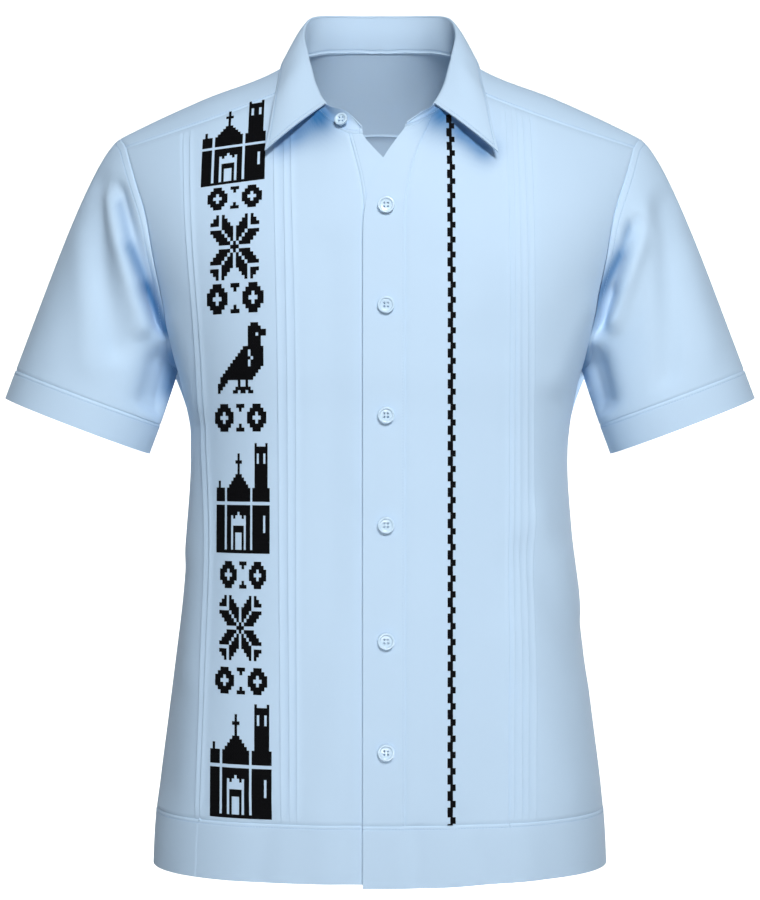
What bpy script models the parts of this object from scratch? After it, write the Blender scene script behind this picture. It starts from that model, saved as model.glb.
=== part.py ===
# Short-sleeved guayabera shirt, held open as if worn, +Z up, front to -Y, metres.
# The origin is the middle of the shoulder line at the neck, where the wearer carries it.
import bpy
import bmesh
import math
from mathutils import Vector

for old in list(bpy.data.objects):
    bpy.data.objects.remove(old, do_unlink=True)

# ---------------------------------------------------------------- driving sizes
WALL = 0.0015            # cloth wall, kept solid enough to make
SEAM_GAP = 0.0003        # between two pieces that are sewn together
ARMPIT_EASE = 0.0004     # more room where four seams meet under the arm
LAYER = 0.0013           # half the step between the two lapped fronts
ROUND = 2.4              # how square the body sections are
SHOULDER_DROP = 0.200    # height over which the shoulder rolls into chest and back
HEM_SEAM_Z = -0.672
HEM_Z = -0.722
ARMPIT_Z = -0.277
TUCK_HEIGHT = 0.0010
TUCK_STEP = 0.0016
HEM_DROOP = 0.0032       # how much lower the left front hangs at its edge
SLEEVE_BAND = 0.0275
SLEEVE_LEAN = 20.5       # degrees of the sleeve from straight down
SLEEVE_END = (0.2654, 0.0, -0.3032)   # middle of the sleeve band seam
SLEEVE_HALF_ACROSS = 0.0695
SLEEVE_HALF_DEPTH = 0.060
BUTTON_RADIUS = 0.0070
STAND_BUTTON_RADIUS = 0.0058
STAND_BUTTON_LIFT = 0.0030
BUTTON_THICK = 0.0026
BUTTON_X = 0.0052
BUTTON_HEIGHTS = (-0.1414, -0.2270, -0.3211, -0.4152, -0.5144, -0.6093)

# body sections: height, half width, depth to the front, depth to the back
BODY = (
    (0.070, 0.262, 0.080, 0.080),
    (0.000, 0.262, 0.094, 0.092),
    (-0.070, 0.252, 0.106, 0.100),
    (-0.140, 0.234, 0.117, 0.106),
    (-0.210, 0.206, 0.122, 0.108),
    (-0.280, 0.182, 0.123, 0.107),
    (-0.320, 0.173, 0.121, 0.105),
    (-0.360, 0.1697, 0.120, 0.104),
    (-0.433, 0.1743, 0.119, 0.105),
    (-0.488, 0.179, 0.120, 0.107),
    (-0.542, 0.1856, 0.121, 0.109),
    (-0.597, 0.1925, 0.123, 0.112),
    (-0.651, 0.1993, 0.125, 0.115),
    (-0.688, 0.203, 0.126, 0.116),
    (-0.730, 0.205, 0.126, 0.117),
)
# shoulder line: distance from the middle, height
RIDGE = (
    (0.000, 0.0580), (0.020, 0.0545), (0.040, 0.0410), (0.060, 0.0190), (0.088, -0.0034),
    (0.159, -0.0325), (0.200, -0.0507), (0.2375, -0.0689), (0.262, -0.082),
)
# armhole edge on the front and on the back: height, distance from the middle
ARMHOLE_FRONT = (
    (-0.277, 0.1830), (-0.2437, 0.1886), (-0.209, 0.1952), (-0.1833, 0.2004),
    (-0.1436, 0.2075), (-0.1084, 0.2195), (-0.079, 0.2290),
)
ARMHOLE_BACK = (
    (-0.277, 0.1830), (-0.250, 0.1885), (-0.215, 0.1965), (-0.180, 0.2045),
    (-0.150, 0.2115), (-0.115, 0.2205),
)
ARMHOLE_FRONT_ROWS = (-0.277, -0.271, -0.259, -0.240, -0.215, -0.184, -0.150, -0.113, -0.079)
ARMHOLE_BACK_ROWS = (-0.277, -0.271, -0.259, -0.240, -0.215, -0.184, -0.150, -0.115)
# yoke end over the shoulder, back to front: distance from the middle, roll angle
ARMHOLE_TOP = (
    (0.2205, -43.4), (0.2275, -32.0), (0.2330, -20.0), (0.2358, -9.0), (0.2362, 2.0),
    (0.2340, 12.0), (0.2290, 21.8),
)
SIDE_ROWS = 9            # steps up the side seam
# half neckline from the middle of the back: distance from the middle, roll angle
NECK_BACK = (
    (0.0000, -36.2), (0.0200, -34.5), (0.0400, -28.1), (0.0570, -17.0), (0.0680, -9.0),
    (0.0735, -2.0), (0.0748, 6.0), (0.0742, 16.8), (0.0715, 28.8), (0.0679, 35.6),
)
NECK_RIGHT = ((0.0644, 41.8), (0.0525, 54.6), (0.0391, 63.6), (0.0269, 68.8), (0.0150, 70.7))
NECK_LEFT = ((0.0644, 41.4), (0.0545, 52.0), (0.0455, 58.4), (0.0330, 64.6), (0.0215, 68.2))
# top edge of the collar stand beside each neckline point: x, y, z
STAND_TOP = (
    (0.0000, 0.0500, 0.0517), (0.0210, 0.0485, 0.0514), (0.0400, 0.0415, 0.0503),
    (0.0550, 0.0300, 0.0478), (0.0635, 0.0150, 0.0425), (0.0675, 0.0000, 0.0335),
    (0.0685, -0.0130, 0.0235), (0.0670, -0.0260, 0.0130), (0.0645, -0.0370, 0.0025),
    (0.0630, -0.0440, -0.0050), (0.0610, -0.0500, -0.0125), (0.0560, -0.0640, -0.0310),
    (0.0465, -0.0810, -0.0495),
)
STAND_END_RIGHT = ((0.0300, -0.0930, -0.0567), (0.0160, -0.0990, -0.0705))
STAND_END_LEFT = ((0.0360, -0.0905, -0.0572), (0.0235, -0.0960, -0.0668))
# outer edge of the collar leaf: distance from the middle, roll angle over the body
LEAF_EDGE = (
    (0.0000, -46.8), (0.0230, -45.6), (0.0450, -40.6), (0.0620, -30.6), (0.0745, -18.0),
    (0.0820, -6.0), (0.0855, 5.0), (0.0873, 15.0), (0.0885, 24.0), (0.0893, 30.5),
    (0.0905, 37.0), (0.0935, 48.0), (0.0973, 55.5),
)
LEAF_WIDER_LEFT = 0.0026 # the left leaf point reaches a little further out
LEAF_LIFT = 0.0034       # leaf edge above the body
# front edge lines: height, distance from the middle
RIGHT_SEAM = ((-0.0745, 0.0269), (-0.092, 0.0226), (-0.1185, 0.0164), (-0.1455, 0.0135),
              (-0.200, 0.0125), (-0.722, 0.0125))
RIGHT_EDGE = ((-0.0785, -0.0150), (-0.0828, -0.0121), (-0.0912, -0.0048), (-0.0993, 0.0030),
              (-0.112, 0.0140), (-0.135, 0.0203), (-0.160, 0.0215), (-0.722, 0.0215))
LEFT_SEAM = ((-0.0600, 0.0455), (-0.0917, 0.0320), (-0.120, 0.0245), (-0.160, 0.0214),
             (-0.722, 0.0214))
LEFT_EDGE = ((-0.0722, 0.0215), (-0.0860, 0.0115), (-0.0993, 0.0030), (-0.119, -0.0062),
             (-0.1403, -0.0125), (-0.170, -0.0146), (-0.722, -0.0146))
# tucks of the right front, from the middle outwards: height, distance from the middle
TUCKS_RIGHT = (
    ((-0.0903, 0.0773), (-0.2405, 0.0728), (-0.433, 0.0720), (-0.663, 0.0710)),
    ((-0.0903, 0.0834), (-0.2405, 0.0801), (-0.433, 0.0789), (-0.663, 0.0773)),
    ((-0.0903, 0.0921), (-0.2405, 0.0882), (-0.433, 0.0866), (-0.663, 0.0847)),
    ((-0.0643, 0.1681), (-0.1496, 0.1638), (-0.238, 0.1577), (-0.351, 0.1517),
     (-0.4354, 0.1486), (-0.5345, 0.1516), (-0.669, 0.1560)),
    ((-0.0643, 0.1743), (-0.1496, 0.1695), (-0.238, 0.1628), (-0.351, 0.1566),
     (-0.4354, 0.1535), (-0.5345, 0.1564), (-0.669, 0.1603)),
)
TUCKS_LEFT = (
    ((-0.0507, 0.1098), (-0.2477, 0.1115), (-0.6646, 0.1100)),
    ((-0.0507, 0.1160), (-0.2477, 0.1160), (-0.6646, 0.1151)),
    ((-0.0507, 0.1198), (-0.2477, 0.1208), (-0.6646, 0.1220)),
    ((-0.0507, 0.1250), (-0.2477, 0.1274), (-0.6646, 0.1276)),
    ((-0.0507, 0.1317), (-0.2477, 0.1334), (-0.6646, 0.1344)),
)

CLOTH = ((0.56, 0.74, 0.90), 0.78)
PEARL = ((0.62, 0.80, 0.93), 0.30)


# ---------------------------------------------------------------- form of the body
def smooth(rows, at, column=1):
    """Smooth curve through a table, looked up by its first column."""
    rows = sorted(rows)
    at = min(max(at, rows[0][0]), rows[-1][0])
    k = 0
    while k < len(rows) - 2 and at > rows[k + 1][0]:
        k += 1
    x0, x1 = rows[k][0], rows[k + 1][0]
    y0, y1 = rows[k][column], rows[k + 1][column]
    slope = (y1 - y0) / (x1 - x0)
    before = after = slope
    if k > 0:
        before = (y0 - rows[k - 1][column]) / (x0 - rows[k - 1][0])
    if k < len(rows) - 2:
        after = (rows[k + 2][column] - y1) / (rows[k + 2][0] - x1)
    m0 = 0.0 if before * slope <= 0 and k > 0 else (before + slope) / 2
    m1 = 0.0 if after * slope <= 0 and k < len(rows) - 2 else (after + slope) / 2
    h = x1 - x0
    t = (at - x0) / h
    return ((2 * t ** 3 - 3 * t ** 2 + 1) * y0 + (t ** 3 - 2 * t ** 2 + t) * h * m0
            + (3 * t ** 2 - 2 * t ** 3) * y1 + (t ** 3 - t ** 2) * h * m1)


def ramp(low, high, at):
    t = min(max((at - low) / (high - low), 0.0), 1.0)
    return t * t * (3 - 2 * t)


def half_width(z):
    return smooth(BODY, z, 1)


def depth(z, side):
    return smooth(BODY, z, 2 if side < 0 else 3)


def across(x, z):
    share = min(abs(x) / half_width(z), 1.0)
    return (1 - share ** ROUND) ** (1 / ROUND)


def on_body(x, z, side):
    """Point of the middle of the cloth at x, z on the front (side -1) or back (+1)."""
    fall = 1 - (smooth(RIDGE, abs(x)) - z) / SHOULDER_DROP
    fall = min(max(fall, 0.0), 1.0)
    return Vector((x, side * depth(z, side) * across(x, z) * math.sqrt(1 - fall * fall), z))


def on_top(x, roll):
    """Point over the shoulder: roll 0 on the shoulder line, + to the front, degrees."""
    roll = math.radians(roll)
    z = smooth(RIDGE, abs(x)) - SHOULDER_DROP * (1 - math.cos(roll))
    side = -1 if roll > 0 else 1
    return Vector((x, -depth(z, side) * across(x, z) * math.sin(roll), z))


def turn_of(x, z):
    """Angle of a body section at x: 90 degrees in the middle, 0 at the side."""
    share = min(abs(x) / half_width(z), 1.0)
    turn = math.acos(share ** (ROUND / 2))
    return turn if x >= 0 else math.pi - turn


def at_turn(turn, z):
    value = abs(math.cos(turn)) ** (2 / ROUND) * half_width(z)
    return value if turn <= math.pi / 2 else -value


# ---------------------------------------------------------------- sheets of cloth
sheets = []


def sheet(name, grid, heart, loop=False, weld=True, paint=CLOTH, wall=WALL):
    """Keep a grid of middle points; heart(p) gives a point on the inner side of p."""
    sheets.append(dict(name=name, grid=grid, heart=heart, loop=loop, weld=weld, paint=paint,
                       wall=wall))


def grid_normals(item):
    grid, loop = item["grid"], item["loop"]
    rows, cols = len(grid), len(grid[0])
    normals = [[Vector((0, 0, 0)) for _ in range(cols)] for _ in range(rows)]
    for j in range(rows - 1):
        for i in range(cols if loop else cols - 1):
            n = (i + 1) % cols
            a, b, c, d = grid[j][i], grid[j][n], grid[j + 1][n], grid[j + 1][i]
            face = (c - a).cross(d - b)
            for q, r in ((j, i), (j, n), (j + 1, n), (j + 1, i)):
                normals[q][r] += face
    facing = 0.0
    for j in range(rows):
        for i in range(cols):
            facing += normals[j][i].dot(grid[j][i] - item["heart"](grid[j][i]))
    item["turned"] = facing < 0
    if facing < 0:
        normals = [[-n for n in row] for row in normals]
    return normals


def spot(p):
    return (round(p.x * 50000), round(p.y * 50000), round(p.z * 50000))


def chain_normal(p, welded):
    """Normal shared along a straight-sided seam, for points between its corners."""
    for chain in chains:
        for a, b in zip(chain, chain[1:]):
            way = b - a
            t = (p - a).dot(way) / way.length_squared
            if 1e-4 < t < 1 - 1e-4 and (a + way * t - p).length < 2e-5:
                return welded[spot(a)].normalized().lerp(welded[spot(b)].normalized(), t)
    return None


def armpit_distance(p):
    return (Vector((abs(p.x), p.y, p.z)) - Vector((half_width(ARMPIT_Z), 0, ARMPIT_Z))).length


def thicken(item, welded):
    grid, loop, wall = item["grid"], item["loop"], item["wall"]
    rows, cols = len(grid), len(grid[0])
    outer, inner = [], []
    for j in range(rows):
        for i in range(cols):
            p = grid[j][i]
            n = item["normals"][j][i]
            if item["weld"]:
                n = welded[spot(p)]
            n = chain_normal(p, welded) or n.normalized()
            unit = n.normalized()
            pull = Vector((0, 0, 0))
            left = (i - 1) % cols if loop else max(i - 1, 0)
            right = (i + 1) % cols if loop else min(i + 1, cols - 1)
            along_row = (grid[j][right] - grid[j][left]).normalized()
            along_column = (grid[min(j + 1, rows - 1)][i] - grid[max(j - 1, 0)][i]).normalized()
            ease = SEAM_GAP / 2 + ARMPIT_EASE * ramp(0.035, 0.010, armpit_distance(p))
            for edge, near, seam in ((j == 0, (1, 0), along_row),
                                     (j == rows - 1, (-1, 0), along_row),
                                     (i == 0 and not loop, (0, 1), along_column),
                                     (i == cols - 1 and not loop, (0, -1), along_column)):
                if edge:
                    way = grid[j + near[0]][i + near[1]] - p
                    way -= way.dot(unit) * unit
                    way -= way.dot(seam) * seam
                    pull += way.normalized() * ease
            if armpit_distance(p) < 1e-5 and not loop:
                pull.x -= math.copysign(ease, p.x)
            outer.append(p + pull + n * wall / 2)
            inner.append(p + pull - n * wall / 2)
    count = rows * cols
    faces = []

    flat = [p for row in grid for p in row]

    def add(*ring):
        if item["turned"]:
            ring = ring[::-1]
        corners = [flat[k % count] for k in ring]
        if (corners[0] - corners[2]).length > (corners[1] - corners[3]).length + 1e-7:
            ring = ring[1:] + ring[:1]
        faces.append((ring[0], ring[1], ring[2]))
        faces.append((ring[0], ring[2], ring[3]))

    for j in range(rows - 1):
        for i in range(cols if loop else cols - 1):
            n = (i + 1) % cols
            a, b, c, d = j * cols + i, j * cols + n, (j + 1) * cols + n, (j + 1) * cols + i
            add(a, b, c, d)
            add(count + d, count + c, count + b, count + a)
    for i in range(cols if loop else cols - 1):
        n = (i + 1) % cols
        add(count + i, count + n, n, i)
        top = (rows - 1) * cols
        add(top + i, top + n, count + top + n, count + top + i)
    if not loop:
        for j in range(rows - 1):
            a, d = j * cols, (j + 1) * cols
            add(a, d, count + d, count + a)
            a, d = a + cols - 1, d + cols - 1
            add(count + a, count + d, d, a)
    body = bpy.data.meshes.new(item["name"])
    body.from_pydata([tuple(v) for v in outer + inner], [], faces)
    body.update()
    made = bpy.data.objects.new(item["name"], body)
    bpy.context.collection.objects.link(made)
    made.data.materials.append(paint_of(item["name"], item["paint"]))
    return made


def paint_of(name, paint):
    colour, rough = paint
    made = bpy.data.materials.new(name)
    made.use_nodes = True
    shader = made.node_tree.nodes["Principled BSDF"]
    shader.inputs["Base Color"].default_value = (*colour, 1)
    shader.inputs["Roughness"].default_value = rough
    shader.inputs["Metallic"].default_value = 0.0
    return made


def heart_of_body(p):
    return Vector((p.x * 0.6, 0, min(p.z, -0.16)))


def lap(p, side):
    """Step of the lapped fronts: left front outwards, right front inwards."""
    amount = LAYER * ramp(-0.079, -0.095, p.z) * ramp(0.120, 0.035, abs(p.x))
    out = Vector((p.x * 0.3, p.y, 0)).normalized()
    return p + out * amount * side


# ---------------------------------------------------------------- seam lines
back_seam_x = (0.0, 0.028, 0.056, 0.084, 0.112, 0.140, 0.168, 0.196, 0.2205)


def front_seam_point(x):
    start = on_top(*NECK_BACK[-1])
    share = (abs(x) - start.x) / (0.229 - start.x)
    if share < 1e-9:
        return Vector((math.copysign(start.x, x), start.y, start.z))
    z = start.z + share * (-0.079 - start.z) - 0.004 * math.sin(math.pi * share)
    return on_body(x, z, -1)


def back_seam_point(x):
    share = abs(x) / 0.2205
    return on_body(x, -0.053 - 0.062 * share ** 1.7, 1)


def on_chain(stops, make, x):
    """Point of the straight-sided seam chain over x, so that both pieces share it."""
    side = -1 if x < 0 else 1
    x = abs(x)
    for k in range(len(stops) - 1):
        if x <= stops[k + 1] + 1e-9 or k == len(stops) - 2:
            t = min(max((x - stops[k]) / (stops[k + 1] - stops[k]), 0.0), 1.0)
            return make(side * stops[k]).lerp(make(side * stops[k + 1]), t)


def neck_points(side):
    own = NECK_RIGHT if side < 0 else NECK_LEFT
    return [on_top(side * x, roll) for x, roll in NECK_BACK + own]


def armhole_front(side):
    rows = []
    for z in ARMHOLE_FRONT_ROWS:
        x = half_width(z) if z == ARMPIT_Z else smooth(ARMHOLE_FRONT, z)
        rows.append(on_body(side * x, z, -1))
    rows[0].y = 0.0
    rows[-1] = front_seam_point(side * 0.229)
    return rows


def armhole_back(side):
    rows = []
    for z in ARMHOLE_BACK_ROWS:
        x = half_width(z) if z == ARMPIT_Z else smooth(ARMHOLE_BACK, z)
        rows.append(on_body(side * x, z, 1))
    rows[0].y = 0.0
    rows[-1] = on_chain(back_seam_x, back_seam_point, side * 0.2205)
    return rows


def armhole_top(side):
    rows = [on_top(side * x, roll) for x, roll in ARMHOLE_TOP]
    rows[0] = armhole_back(side)[-1]
    rows[-1] = armhole_front(side)[-1]
    return rows


# ---------------------------------------------------------------- fronts
side_heights = [HEM_SEAM_Z + (ARMPIT_Z - HEM_SEAM_Z) * k / SIDE_ROWS for k in range(SIDE_ROWS)]
side_heights += list(ARMHOLE_FRONT_ROWS)


def line_x(rows, z):
    return smooth([(r[0], r[1]) for r in rows], z)


def front_columns(side):
    """Columns from the front edge to the side: line pair, share between, tuck, end on top."""
    seam = RIGHT_SEAM if side < 0 else LEFT_SEAM
    tucks = TUCKS_RIGHT if side < 0 else TUCKS_LEFT
    neck = (NECK_BACK[-1:] + (NECK_RIGHT if side < 0 else NECK_LEFT))
    ends = [x for x, roll in neck][::-1]
    ends = ends[1:] if side < 0 else ends[2:]
    lines = [(seam, 0.0, 0.0)]
    for tuck in tucks:
        lines += [(tuck, 0.0, 1.0), (tuck, TUCK_STEP, 0.0)]
    lines.append((None, 0.0, 0.0))
    gaps = {0: 5, 6: 5, 10: 4} if side < 0 else {0: 6, 10: 5}
    columns = []
    for k in range(len(lines) - 1):
        steps = gaps.get(k, 1)
        for step in range(steps):
            height = lines[k][2] if step == 0 else 0.0
            top = None
            if k == 0 and step < len(ends):
                top = ends[step]
            columns.append((lines[k], lines[k + 1], step / steps, height, top))
    columns.append((lines[-1], lines[-1], 0.0, 0.0, None))
    return columns


def edge_turn(line, z):
    rows, shift, _ = line
    if rows is None:
        x = half_width(z) if z <= ARMPIT_Z + 1e-6 else smooth(ARMHOLE_FRONT, z)
        return turn_of(x, z)
    return turn_of(line_x(rows, z) + shift, z)


def column_x(column, z):
    first, second, share, _, _ = column
    turn = edge_turn(first, z) * (1 - share) + edge_turn(second, z) * share
    return at_turn(turn, z)


def seam_x(column):
    """Distance from the middle at which a column meets the yoke seam."""
    x = column_x(column, -0.05)
    for _ in range(6):
        x = column_x(column, front_seam_point(x).z)
    return x


def front_grid(side):
    neck = neck_points(side)
    armhole = armhole_front(side)
    columns = front_columns(side)
    grid = []
    for j, side_z in enumerate(side_heights):
        share = (side_z - HEM_SEAM_Z) / (side_heights[-1] - HEM_SEAM_Z)
        grid.append([])
        for i, column in enumerate(columns):
            if i == len(columns) - 1:
                if j < SIDE_ROWS:
                    p = Vector((side * half_width(side_z), 0, side_z))
                else:
                    p = armhole[j - SIDE_ROWS].copy()
                grid[-1].append(p)
                continue
            if column[4] is not None:
                top = min(neck, key=lambda q: abs(abs(q.x) - column[4]) + (q.y > 0)).copy()
            else:
                top = front_seam_point(side * seam_x(column))
            z = HEM_SEAM_Z + (top.z - HEM_SEAM_Z) * share
            if j == len(side_heights) - 1:
                grid[-1].append(top)
                continue
            x = column_x(column, z)
            x += (abs(top.x) - column_x(column, top.z)) * ramp(0.72, 1.0, share)
            p = on_body(side * x, z, -1)
            p = lap(p, 1 if side > 0 else -1)
            if column[3]:
                out = Vector((p.x * 0.5, p.y, 0)).normalized()
                rise = ramp(0.0, 0.02, share) * ramp(1.0, 0.98, share)
                if side > 0 and column[0][0] == TUCKS_LEFT[1]:
                    rise *= ramp(-0.235, -0.255, z)
                p = p + out * TUCK_HEIGHT * rise * column[3]
            grid[-1].append(p)
    return grid


def strip(low, high, top_low, top_high, heights, side, steps=2):
    """Front strip between two lines given as height, x tables with their own signs."""
    grid = []
    for j, share in enumerate(heights):
        row = []
        for k in range(steps + 1):
            t = k / steps
            top = top_low.lerp(top_high, t)
            z = HEM_SEAM_Z + (top.z - HEM_SEAM_Z) * share
            x = line_x(low, z) * (1 - t) + line_x(high, z) * t
            straight = line_x(low, top.z) * (1 - t) + line_x(high, top.z) * t
            x += (top.x - straight) * ramp(0.72, 1.0, share)
            if share == 1.0:
                row.append(top)
            else:
                row.append(lap(on_body(x, z, -1), side))
        grid.append(row)
    return grid


right_grid = front_grid(-1)
left_grid = front_grid(1)
heights = [(z - HEM_SEAM_Z) / (side_heights[-1] - HEM_SEAM_Z) for z in side_heights]

neck_left, neck_right = neck_points(1), neck_points(-1)
right_seam_signed = [(z, -x) for z, x in RIGHT_SEAM]
band_grid = strip(right_seam_signed, RIGHT_EDGE, neck_right[-2], neck_right[-1], heights, -1)
placket_grid = strip(LEFT_EDGE, LEFT_SEAM, neck_left[-1], neck_left[-3], heights, 1)
for j in range(len(placket_grid)):
    placket_grid[j][-1] = left_grid[j][0].copy()
    band_grid[j][0] = right_grid[j][0].copy()
placket_grid[-1][1] = neck_left[-2].copy()

sheet("front_right", right_grid, heart_of_body)
sheet("front_left", left_grid, heart_of_body)
sheet("placket", placket_grid, heart_of_body)
sheet("button_band", band_grid, heart_of_body)


# ---------------------------------------------------------------- back and yoke
back_heights = side_heights[:SIDE_ROWS] + list(ARMHOLE_BACK_ROWS)


def back_grid():
    grid = []
    armholes = {side: armhole_back(side) for side in (-1, 1)}
    for j, side_z in enumerate(back_heights):
        share = (side_z - HEM_SEAM_Z) / (back_heights[-1] - HEM_SEAM_Z)
        row = []
        for k in range(-(len(back_seam_x) - 1), len(back_seam_x)):
            side = -1 if k < 0 else 1
            x_top = back_seam_x[abs(k)]
            top = back_seam_point(side * x_top)
            if abs(k) == len(back_seam_x) - 1:
                if j < SIDE_ROWS:
                    row.append(Vector((side * half_width(side_z), 0, side_z)))
                else:
                    row.append(armholes[side][j - SIDE_ROWS].copy())
                continue
            z = HEM_SEAM_Z + (top.z - HEM_SEAM_Z) * share
            edge = half_width(z) if z < ARMPIT_Z else smooth(ARMHOLE_BACK, z)
            turn_edge = turn_of(edge, z)
            t = abs(k) / (len(back_seam_x) - 1)
            x = at_turn(math.pi / 2 + (turn_edge - math.pi / 2) * t, z)
            x += (x_top - x) * ramp(0.6, 1.0, share)
            row.append(top if j == len(back_heights) - 1 else on_body(side * x, z, 1))
        grid.append(row)
    return grid


back_points = back_grid()
sheet("back", back_points, heart_of_body)

YOKE_ROWS = len(ARMHOLE_TOP) - 1


def yoke_half(side):
    neck = [(x, roll) for x, roll in NECK_BACK]
    rolls = []
    for x in [seam_x(c) for c in front_columns(side) if c[4] is None][:-1] + [0.229]:
        p = front_seam_point(x)
        fall = 1 - (smooth(RIDGE, x) - p.z) / SHOULDER_DROP
        rolls.append((x, math.degrees(math.acos(fall))))
    ends = neck + rolls
    length = [0.0]
    for k in range(1, len(ends)):
        length.append(length[-1] + (on_top(*ends[k]) - on_top(*ends[k - 1])).length)
    columns = []
    for k, (x_end, roll_end) in enumerate(ends):
        t = length[k] / length[-1]
        x_start = 0.2205 * t ** 0.8
        start = on_chain(back_seam_x, back_seam_point, side * x_start)
        fall = 1 - (smooth(RIDGE, x_start) - start.z) / SHOULDER_DROP
        roll_start = -math.degrees(math.acos(fall))
        column = []
        for j in range(YOKE_ROWS + 1):
            u = j / YOKE_ROWS
            if k == len(ends) - 1:
                p = armhole_top(side)[j].copy()
            elif j == 0:
                p = start
            elif j == YOKE_ROWS:
                if k < len(neck):
                    p = on_top(side * x_end, roll_end)
                else:
                    p = front_seam_point(side * x_end)
            else:
                p = on_top(side * (x_start + (x_end - x_start) * u),
                           roll_start + (roll_end - roll_start) * u)
            column.append(p)
        columns.append(column)
    return columns


right_half, left_half = yoke_half(-1), yoke_half(1)
yoke_columns = right_half[:0:-1] + left_half
yoke_points = [[column[j] for column in yoke_columns] for j in range(YOKE_ROWS + 1)]
sheet("yoke", yoke_points, lambda p: Vector((p.x * 0.9, 0, -0.20)))


# ---------------------------------------------------------------- hem bands
def below(row, low, steps=2, droop=0.0):
    grid = []
    for k in range(steps + 1):
        z = low + (HEM_SEAM_Z - low) * k / steps
        line = []
        for p in row:
            side = -1 if p.y <= 0 else 1
            grow = half_width(z) / half_width(HEM_SEAM_Z)
            deep = depth(z, side) / depth(HEM_SEAM_Z, side)
            sag = droop * ramp(0.15, 0.02, abs(p.x)) * k / steps
            line.append(Vector((p.x * grow, p.y * deep, z - sag)))
        grid.append(line)
    return grid


left_row = placket_grid[0][:-1] + left_grid[0]
right_row = band_grid[0][:0:-1] + right_grid[0]
sheet("hem_band_left", below(left_row, HEM_Z, droop=HEM_DROOP), heart_of_body)
sheet("hem_band_right", below(right_row, HEM_Z), heart_of_body)
sheet("hem_band_back", below(back_points[0], HEM_Z), heart_of_body)


# ---------------------------------------------------------------- sleeves
lean = math.radians(SLEEVE_LEAN)
SLEEVE_STOPS = (0.0, 0.06, 0.14, 0.24, 0.36, 0.49, 0.62, 0.75, 0.88, 1.0)


def sleeve_frame(side):
    down = Vector((side * math.sin(lean), 0, -math.cos(lean)))
    out = Vector((side * math.cos(lean), 0, math.sin(lean)))
    middle = Vector((side * SLEEVE_END[0], 0, SLEEVE_END[2]))
    return down, out, middle


def sleeve_ring(side):
    """Armhole loop from the armpit up the back, over and down the front."""
    loop = armhole_back(side)[:-1] + armhole_top(side) + armhole_front(side)[-2:0:-1]
    return loop


def sleeve_grid(side):
    down, out, middle = sleeve_frame(side)
    loop = sleeve_ring(side)
    peak = max(range(len(loop)), key=lambda k: loop[k].z)
    length = [0.0]
    for k in range(1, len(loop) + 1):
        length.append(length[-1] + (loop[k % len(loop)] - loop[k - 1]).length)
    ends, starts = [], []
    for k in range(len(loop)):
        if k <= peak:
            turn = math.pi * (1 - length[k] / length[peak])
            depthwise = 1
        else:
            turn = math.pi * (length[k] - length[peak]) / (length[-1] - length[peak])
            depthwise = -1
        end = middle + out * math.cos(turn) * SLEEVE_HALF_ACROSS
        end.y = depthwise * math.sin(turn) * SLEEVE_HALF_DEPTH
        ends.append(end)
        starts.append(math.cos(turn))
    grid = []
    for t in SLEEVE_STOPS:
        row = []
        for k, p in enumerate(loop):
            top = (1 + starts[k]) / 2
            away = down * (1 - top) + (out * 0.585 + down * 0.81) * top
            reach = (ends[k] - p).length
            first = p + away.normalized() * reach * (0.16 - 0.035 * top)
            if p.y < 0:
                first.y += 0.010 * ramp(0.5, 0.1, top)
            first.y += (0.006 if p.y > 0 else -0.006) * ramp(0.3, 0.6, top) * ramp(1, 0.8, top)
            second = ends[k] - down * reach * 0.42
            a, b, c, d = (1 - t) ** 3, 3 * t * (1 - t) ** 2, 3 * t * t * (1 - t), t ** 3
            row.append(p * a + first * b + second * c + ends[k] * d)
        grid.append(row)
    return grid


def sleeve_heart(side):
    down, out, middle = sleeve_frame(side)

    def heart(p):
        along = (p - middle).dot(down)
        return middle + down * along
    return heart


for side, word in ((-1, "right"), (1, "left")):
    grid = sleeve_grid(side)
    down, out, middle = sleeve_frame(side)
    band = [grid[-1], [p + down * SLEEVE_BAND for p in grid[-1]]]
    sheet("sleeve_" + word, grid, sleeve_heart(side), loop=True)
    sheet("sleeve_band_" + word, band, sleeve_heart(side), loop=True)


# ---------------------------------------------------------------- collar
def collar_rows():
    stand_bottom, stand_top = [], []
    for side in (-1, 1):
        tops = [Vector((side * x, y, z)) for x, y, z in
                STAND_TOP + (STAND_END_RIGHT if side < 0 else STAND_END_LEFT)]
        bottoms = neck_points(side)
        if side < 0:
            stand_bottom += bottoms[:0:-1]
            stand_top += tops[:0:-1]
        else:
            stand_bottom += bottoms
            stand_top += tops
    return stand_bottom, stand_top


stand_bottom, stand_top = collar_rows()
stand_rows = []
for t in (0.0, 0.35, 0.7, 1.0):
    row = []
    for low, high in zip(stand_bottom, stand_top):
        p = low.lerp(high, t)
        out = Vector((p.x, p.y, 0)).normalized()
        p = p - out * 0.0020 * math.sin(math.pi * t)
        row.append(p)
    stand_rows.append(row)
sheet("collar_stand", stand_rows, lambda p: Vector((0, -0.01, p.z + 0.02)))


def leaf_edge_points():
    line = []
    for k in list(range(len(LEAF_EDGE) - 1, 0, -1)) + list(range(len(LEAF_EDGE))):
        line.append(k)
    points = []
    for place, k in enumerate(line):
        side = -1 if place < len(LEAF_EDGE) - 1 else 1
        x, roll = LEAF_EDGE[k]
        x += LEAF_WIDER_LEFT * ramp(8, 12, k) * (side > 0)
        p = on_top(side * x, roll)
        a = on_top(side * x, roll + 1.0) - on_top(side * x, roll - 1.0)
        b = on_top(side * (x + 0.002), roll) - on_top(side * (x - 0.002), roll)
        n = a.cross(b).normalized()
        if n.z < 0:
            n = -n
        points.append(p + n * LEAF_LIFT)
    return points


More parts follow.
